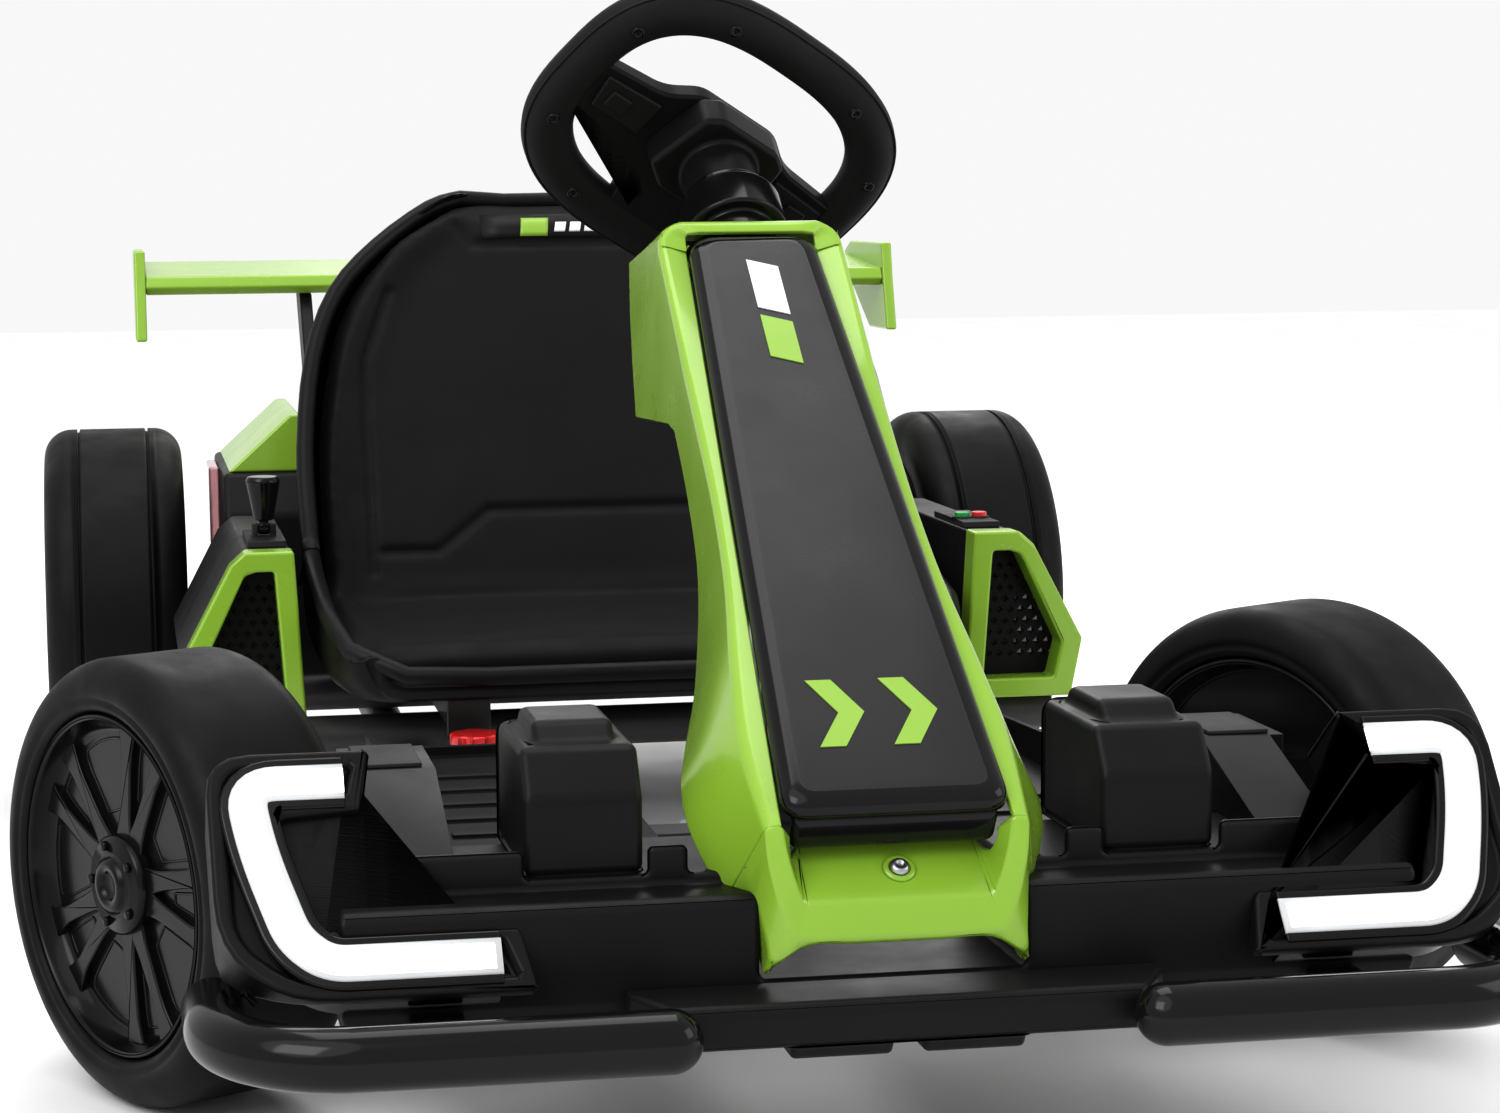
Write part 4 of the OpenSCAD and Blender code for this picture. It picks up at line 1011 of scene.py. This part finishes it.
def build_seat_label(pad):
    """A plain field with a block and bars, in the place of the words."""
    piece(laid_on(pad, "seat_label_field", -70, 70, 429, 446, 0.9), "seat", SATIN, "black_plastic")
    block = laid_on(pad, "seat_label_green", -42, -22, 430.5, 443.5, LABEL_LIFT, LABEL_SLANT)
    piece(block, "seat", MARK_GREEN, "green_plastic")
    for k, (x0, x1) in enumerate([(-17, -9), (-6, 2), (5, 13)]):
        bar = laid_on(pad, f"seat_label_bar_{k}", x0, x1, 433.5, 440.5, LABEL_LIFT, LABEL_SLANT)
        piece(bar, "seat", MARK_WHITE, "lens")


def build_seat():
    build_seat_shell()
    build_seat_lip()
    build_seat_pad()


# --- Steering ---

WHEEL_HALF_W = 108
WHEEL_HALF_H = 85
GRIP_W = 27
GRIP_D = 24
GRIP_STEPS = 120
GRIP_SIDES = 20
CORNER_POWER = 2.7
GRIP_SCREWS = 8


def steering_place():
    """Local frame of the steering wheel: y is its top, z points at the driver."""
    joint = JOINTS["column_turn"]
    axis = Vector(joint["axis"]).normalized()
    road = Vector(JOINTS["front_wheel_left_spin"]["axis"])
    ratio = abs(frame["record"]["behaviour"]["couplings"][0]["ratio"])
    turn = Matrix.Rotation(math.atan2(road.y, road.x) / ratio, 3, axis)
    origin = Vector(joint["pos_m"])
    lo, hi = span("steering_wheel", axis, origin)
    across = turn @ Vector((-1, 0, 0))
    return axes_frame(origin + axis * (lo + hi) / 2 * MM, across, axis.cross(across), axis)


def rim_point(turn, inset=0):
    """Point of the wheel's rounded outline at a share of a full turn, moved in by inset."""
    a = 2 * math.pi * turn
    c, s = math.cos(a), math.sin(a)
    return Vector(((WHEEL_HALF_W - inset) * math.copysign(abs(c) ** (2 / CORNER_POWER), c),
                   (WHEEL_HALF_H - inset) * math.copysign(abs(s) ** (2 / CORNER_POWER), s)))


def grip_rings():
    rings = []
    for i in range(GRIP_STEPS):
        outer, inner = rim_point(i / GRIP_STEPS), rim_point(i / GRIP_STEPS, GRIP_W)
        ring = []
        for k in range(GRIP_SIDES):
            b = 2 * math.pi * k / GRIP_SIDES
            p = outer.lerp(inner, (1 - math.cos(b)) / 2)
            ring.append((p.x, p.y, GRIP_D / 2 * math.sin(b)))
        rings.append(ring)
    return rings


def build_steering():
    place = steering_place()
    grip = make("steering_grip", *loft_data(grip_rings(), closed=True), place)
    piece(grip, "steering", GRAINED, "black_plastic", "steering_wheel")
    seam = [tuple(rim_point(i / GRIP_STEPS, 1.2)) for i in range(GRIP_STEPS)]
    bead = make("steering_grip_seam", *bead_data(seam, -5.5, 0.8), place)
    piece(bead, "steering", SATIN, "black_plastic")
    arm = rounded([(-98, -22, 2), (-94, 8, 2), (-46, 12, 8), (-28, 24, 6), (28, 24, 6), (46, 12, 8),
                   (94, 8, 2), (98, -22, 2), (34, -26, 12), (20, -74, 2), (-20, -74, 2), (-34, -26, 12)], 5)
    spokes = make("steering_spokes", *prism_data(arm, -8, 4), place)
    soften(spokes, 2.2, 4, 30)
    piece(spokes, "steering", SATIN, "black_plastic")
    ribs = []
    for side in (-1, 1):
        rib = [(side * x, y) for x, y in ((44, -16), (78, -16), (82, 4), (44, 6))]
        boss = [(side * x, y) for x, y in ((60, -11), (74, -11), (74, -1), (60, -1))]
        ribs += [prism_data(rib, -11, -7), prism_data(boss, -13, -10)]
    bosses = make("steering_ribs", *joined(*ribs), place)
    soften(bosses, 1.2, 3)
    piece(bosses, "steering", SATIN, "black_plastic")
    hole = revolve_data([(1.6, -12.6), (3.2, -12.6), (3.6, -12.0), (3.6, -10), (1.6, -10)], 20)
    screws = []
    for i in range(GRIP_SCREWS):
        p = rim_point((i + 0.5) / GRIP_SCREWS, GRIP_W / 2)
        screws.append(turned(hole, Matrix.Translation((p.x, p.y, 0))))
    piece(make("steering_screw_seats", *joined(*screws), place), "steering", GLOSS, "black_plastic")
    outline = rounded([(-22, -14, 6), (22, -14, 6), (18, 14, 6), (-18, 14, 6)], 5)
    face = make("steering_badge", *prism_data(outline, 3, 9), place)
    soften(face, 2.5, 4)
    piece(face, "steering", GLOSS, "gloss_black")
    dress("steering_hub_pad", SATIN, 3, 4)


# --- Side pods and tail ---

MESH_PITCH = 7.4
MESH_HALF = 2.7
MESH_LIFT = 1.6
MESH_HEIGHTS = (150, 214)
MESH_ACROSS = (234, 292)
# Most that the corners of one diamond, and one diamond and the rest, may differ in depth
FLAT_ENOUGH = 1.5
SAME_FACE = 3


def diamond_spots(target, x, z, start):
    """Where the corners of a diamond at x, z meet the front of the target."""
    inverse = target.matrix_world.inverted()
    ahead = (inverse.to_3x3() @ Vector((0, 1, 0))).normalized()
    spots = []
    for dx, dz in ((MESH_HALF, 0), (0, MESH_HALF), (-MESH_HALF, 0), (0, -MESH_HALF)):
        hit, spot = target.ray_cast(inverse @ (Vector((x + dx, start, z + dz)) * MM), ahead)[:2]
        if hit:
            spots.append((target.matrix_world @ spot) / MM)
    return spots


def front_depth(spots):
    return min(p.y for p in spots)


def build_pod_mesh(side):
    """Raised diamonds on the front face of a pod, kept to where that face is."""
    node = f"pod_body_{side}"
    start = span(node, Vector((0, 1, 0)))[0] - 20
    x0, x1 = sorted(SIDES[side] * x for x in MESH_ACROSS)
    z0, z1 = MESH_HEIGHTS
    found = []
    for j in range(int((z1 - z0) / MESH_PITCH) + 1):
        for i in range(int((x1 - x0) / MESH_PITCH) + 1):
            x = x0 + (i + 0.5 * (j % 2)) * MESH_PITCH
            spots = diamond_spots(frame["nodes"][node], x, z0 + j * MESH_PITCH, start)
            if len(spots) == 4 and max(p.y for p in spots) - front_depth(spots) <= FLAT_ENOUGH:
                found.append(spots)
    face = sorted(front_depth(spots) for spots in found)[len(found) // 2]
    verts, faces = [], []
    for spots in found:
        if abs(front_depth(spots) - face) > SAME_FACE:
            continue
        k = len(verts)
        verts += spots + [sum(spots, Vector()) / 4 - Vector((0, MESH_LIFT, 0))]
        faces += [(k, k + 1, k + 4), (k + 1, k + 2, k + 4), (k + 2, k + 3, k + 4), (k + 3, k, k + 4)]
    piece(make(f"pod_mesh_{side}", verts, faces, smooth=False), "chassis", GLOSS, "gloss_black")


def build_pods_and_tail():
    for side in SIDES:
        dress(f"pod_frame_{side}", GREEN, 2, 4)
        dress(f"pod_body_{side}", SATIN, 2, 4)
        dress(f"rear_fender_{side}", GREEN, 2, 4)
        build_pod_mesh(side)
    dress("lever_panel", GRAINED, 0.6)
    dress("button_panel", GRAINED, 0.6)
    dress("drift_lever", GLOSS, 1, 4)
    dress("green_button", BUTTON_GREEN, 0.8)
    dress("red_button", RED, 0.8)
    dress("seat_knob", RED, 1.5, 3)
    dress("step_pads", GRAINED, 0.6)
    dress("rear_body", SATIN, 4, 4)
    dress("tail_lamps", TAIL, 2, 3)
    dress("wing_plane", GREEN, 1.6, 3)
    dress("wing_endplates", GREEN, 2, 4)
    dress("wing_struts", SATIN, 1.5, 3)


# --- Floor, lights and camera ---

FLOOR_HALF = 9
WORLD_LIGHT = 0.95
GAMMA = 0.82
SKY_LIGHT = 0.9
SKY_SPREAD = 1.0
AIM = Vector((0, 0, 0.2))
# Lamps: name, place, size and power
LAMPS = [("key", (-1.9, -2.2, 2.3), 1.6, 34), ("fill", (2.4, -1.6, 1.5), 1.4, 16),
         ("top", (0, 0.2, 2.8), 1.6, 26), ("back", (0.6, 2.6, 1.8), 1.4, 20)]


def add_light(name, kind, energy):
    light = bpy.data.lights.new(name, kind)
    light.energy = energy
    obj = bpy.data.objects.new(name, light)
    bpy.context.scene.collection.objects.link(obj)
    return obj


def build_stage():
    w = FLOOR_HALF
    floor = make("floor", [(-w, -w, 0), (w, -w, 0), (w, w, 0), (-w, w, 0)], [(0, 1, 2, 3)],
                 Matrix.Identity(4), False)
    floor.data.materials.append(plastic("floor_pale", (0.86, 0.86, 0.86), (0.84, 0.84, 0.84), 0.7, 40, 0.02))
    world = bpy.data.worlds.new("studio")
    world.use_nodes = True
    background = world.node_tree.nodes["Background"]
    background.inputs["Color"].default_value = (1, 1, 1, 1)
    background.inputs["Strength"].default_value = WORLD_LIGHT
    bpy.context.scene.world = world
    bpy.context.scene.view_settings.view_transform = "Standard"
    bpy.context.scene.view_settings.gamma = GAMMA
    sky = add_light("sky", "SUN", SKY_LIGHT)
    sky.data.angle = SKY_SPREAD
    sky.rotation_euler = (0.5, -0.5, 0)
    for name, spot, size, power in LAMPS:
        lamp = add_light(name, "AREA", power)
        lamp.data.size = size
        lamp.location = spot
        lamp.rotation_euler = (AIM - Vector(spot)).to_track_quat("-Z", "Y").to_euler()


# The camera, in metres and degrees, as the photograph was taken
CAMERA_SPOT = (-0.3337, -1.9087, 0.4574)
CAMERA_ANGLES = (9.514, 7.277, -0.527)
CAMERA_LENS = 72
CAMERA_SENSOR = 36
CAMERA_SHIFT = (0.0857, 0.0162)


def build_camera():
    yaw, pitch, roll = (math.radians(a) for a in CAMERA_ANGLES)
    ahead = Vector((math.sin(yaw) * math.cos(pitch), math.cos(yaw) * math.cos(pitch), -math.sin(pitch)))
    level = Vector((math.cos(yaw), -math.sin(yaw), 0))
    upright = level.cross(ahead)
    right = level * math.cos(roll) + upright * math.sin(roll)
    up = upright * math.cos(roll) - level * math.sin(roll)
    data = bpy.data.cameras.new("camera")
    data.sensor_width = CAMERA_SENSOR
    data.lens = CAMERA_LENS
    data.shift_x, data.shift_y = CAMERA_SHIFT
    camera = bpy.data.objects.new("camera", data)
    turn = Matrix((right, up, -ahead)).transposed().to_4x4()
    camera.matrix_world = Matrix.Translation(CAMERA_SPOT) @ turn
    bpy.context.scene.collection.objects.link(camera)
    bpy.context.scene.camera = camera


build_camera()
build_stage()
dress_frame()
dress_front()
build_wheels()
build_headlights()
build_nose()
build_seat()
build_steering()
build_pods_and_tail()
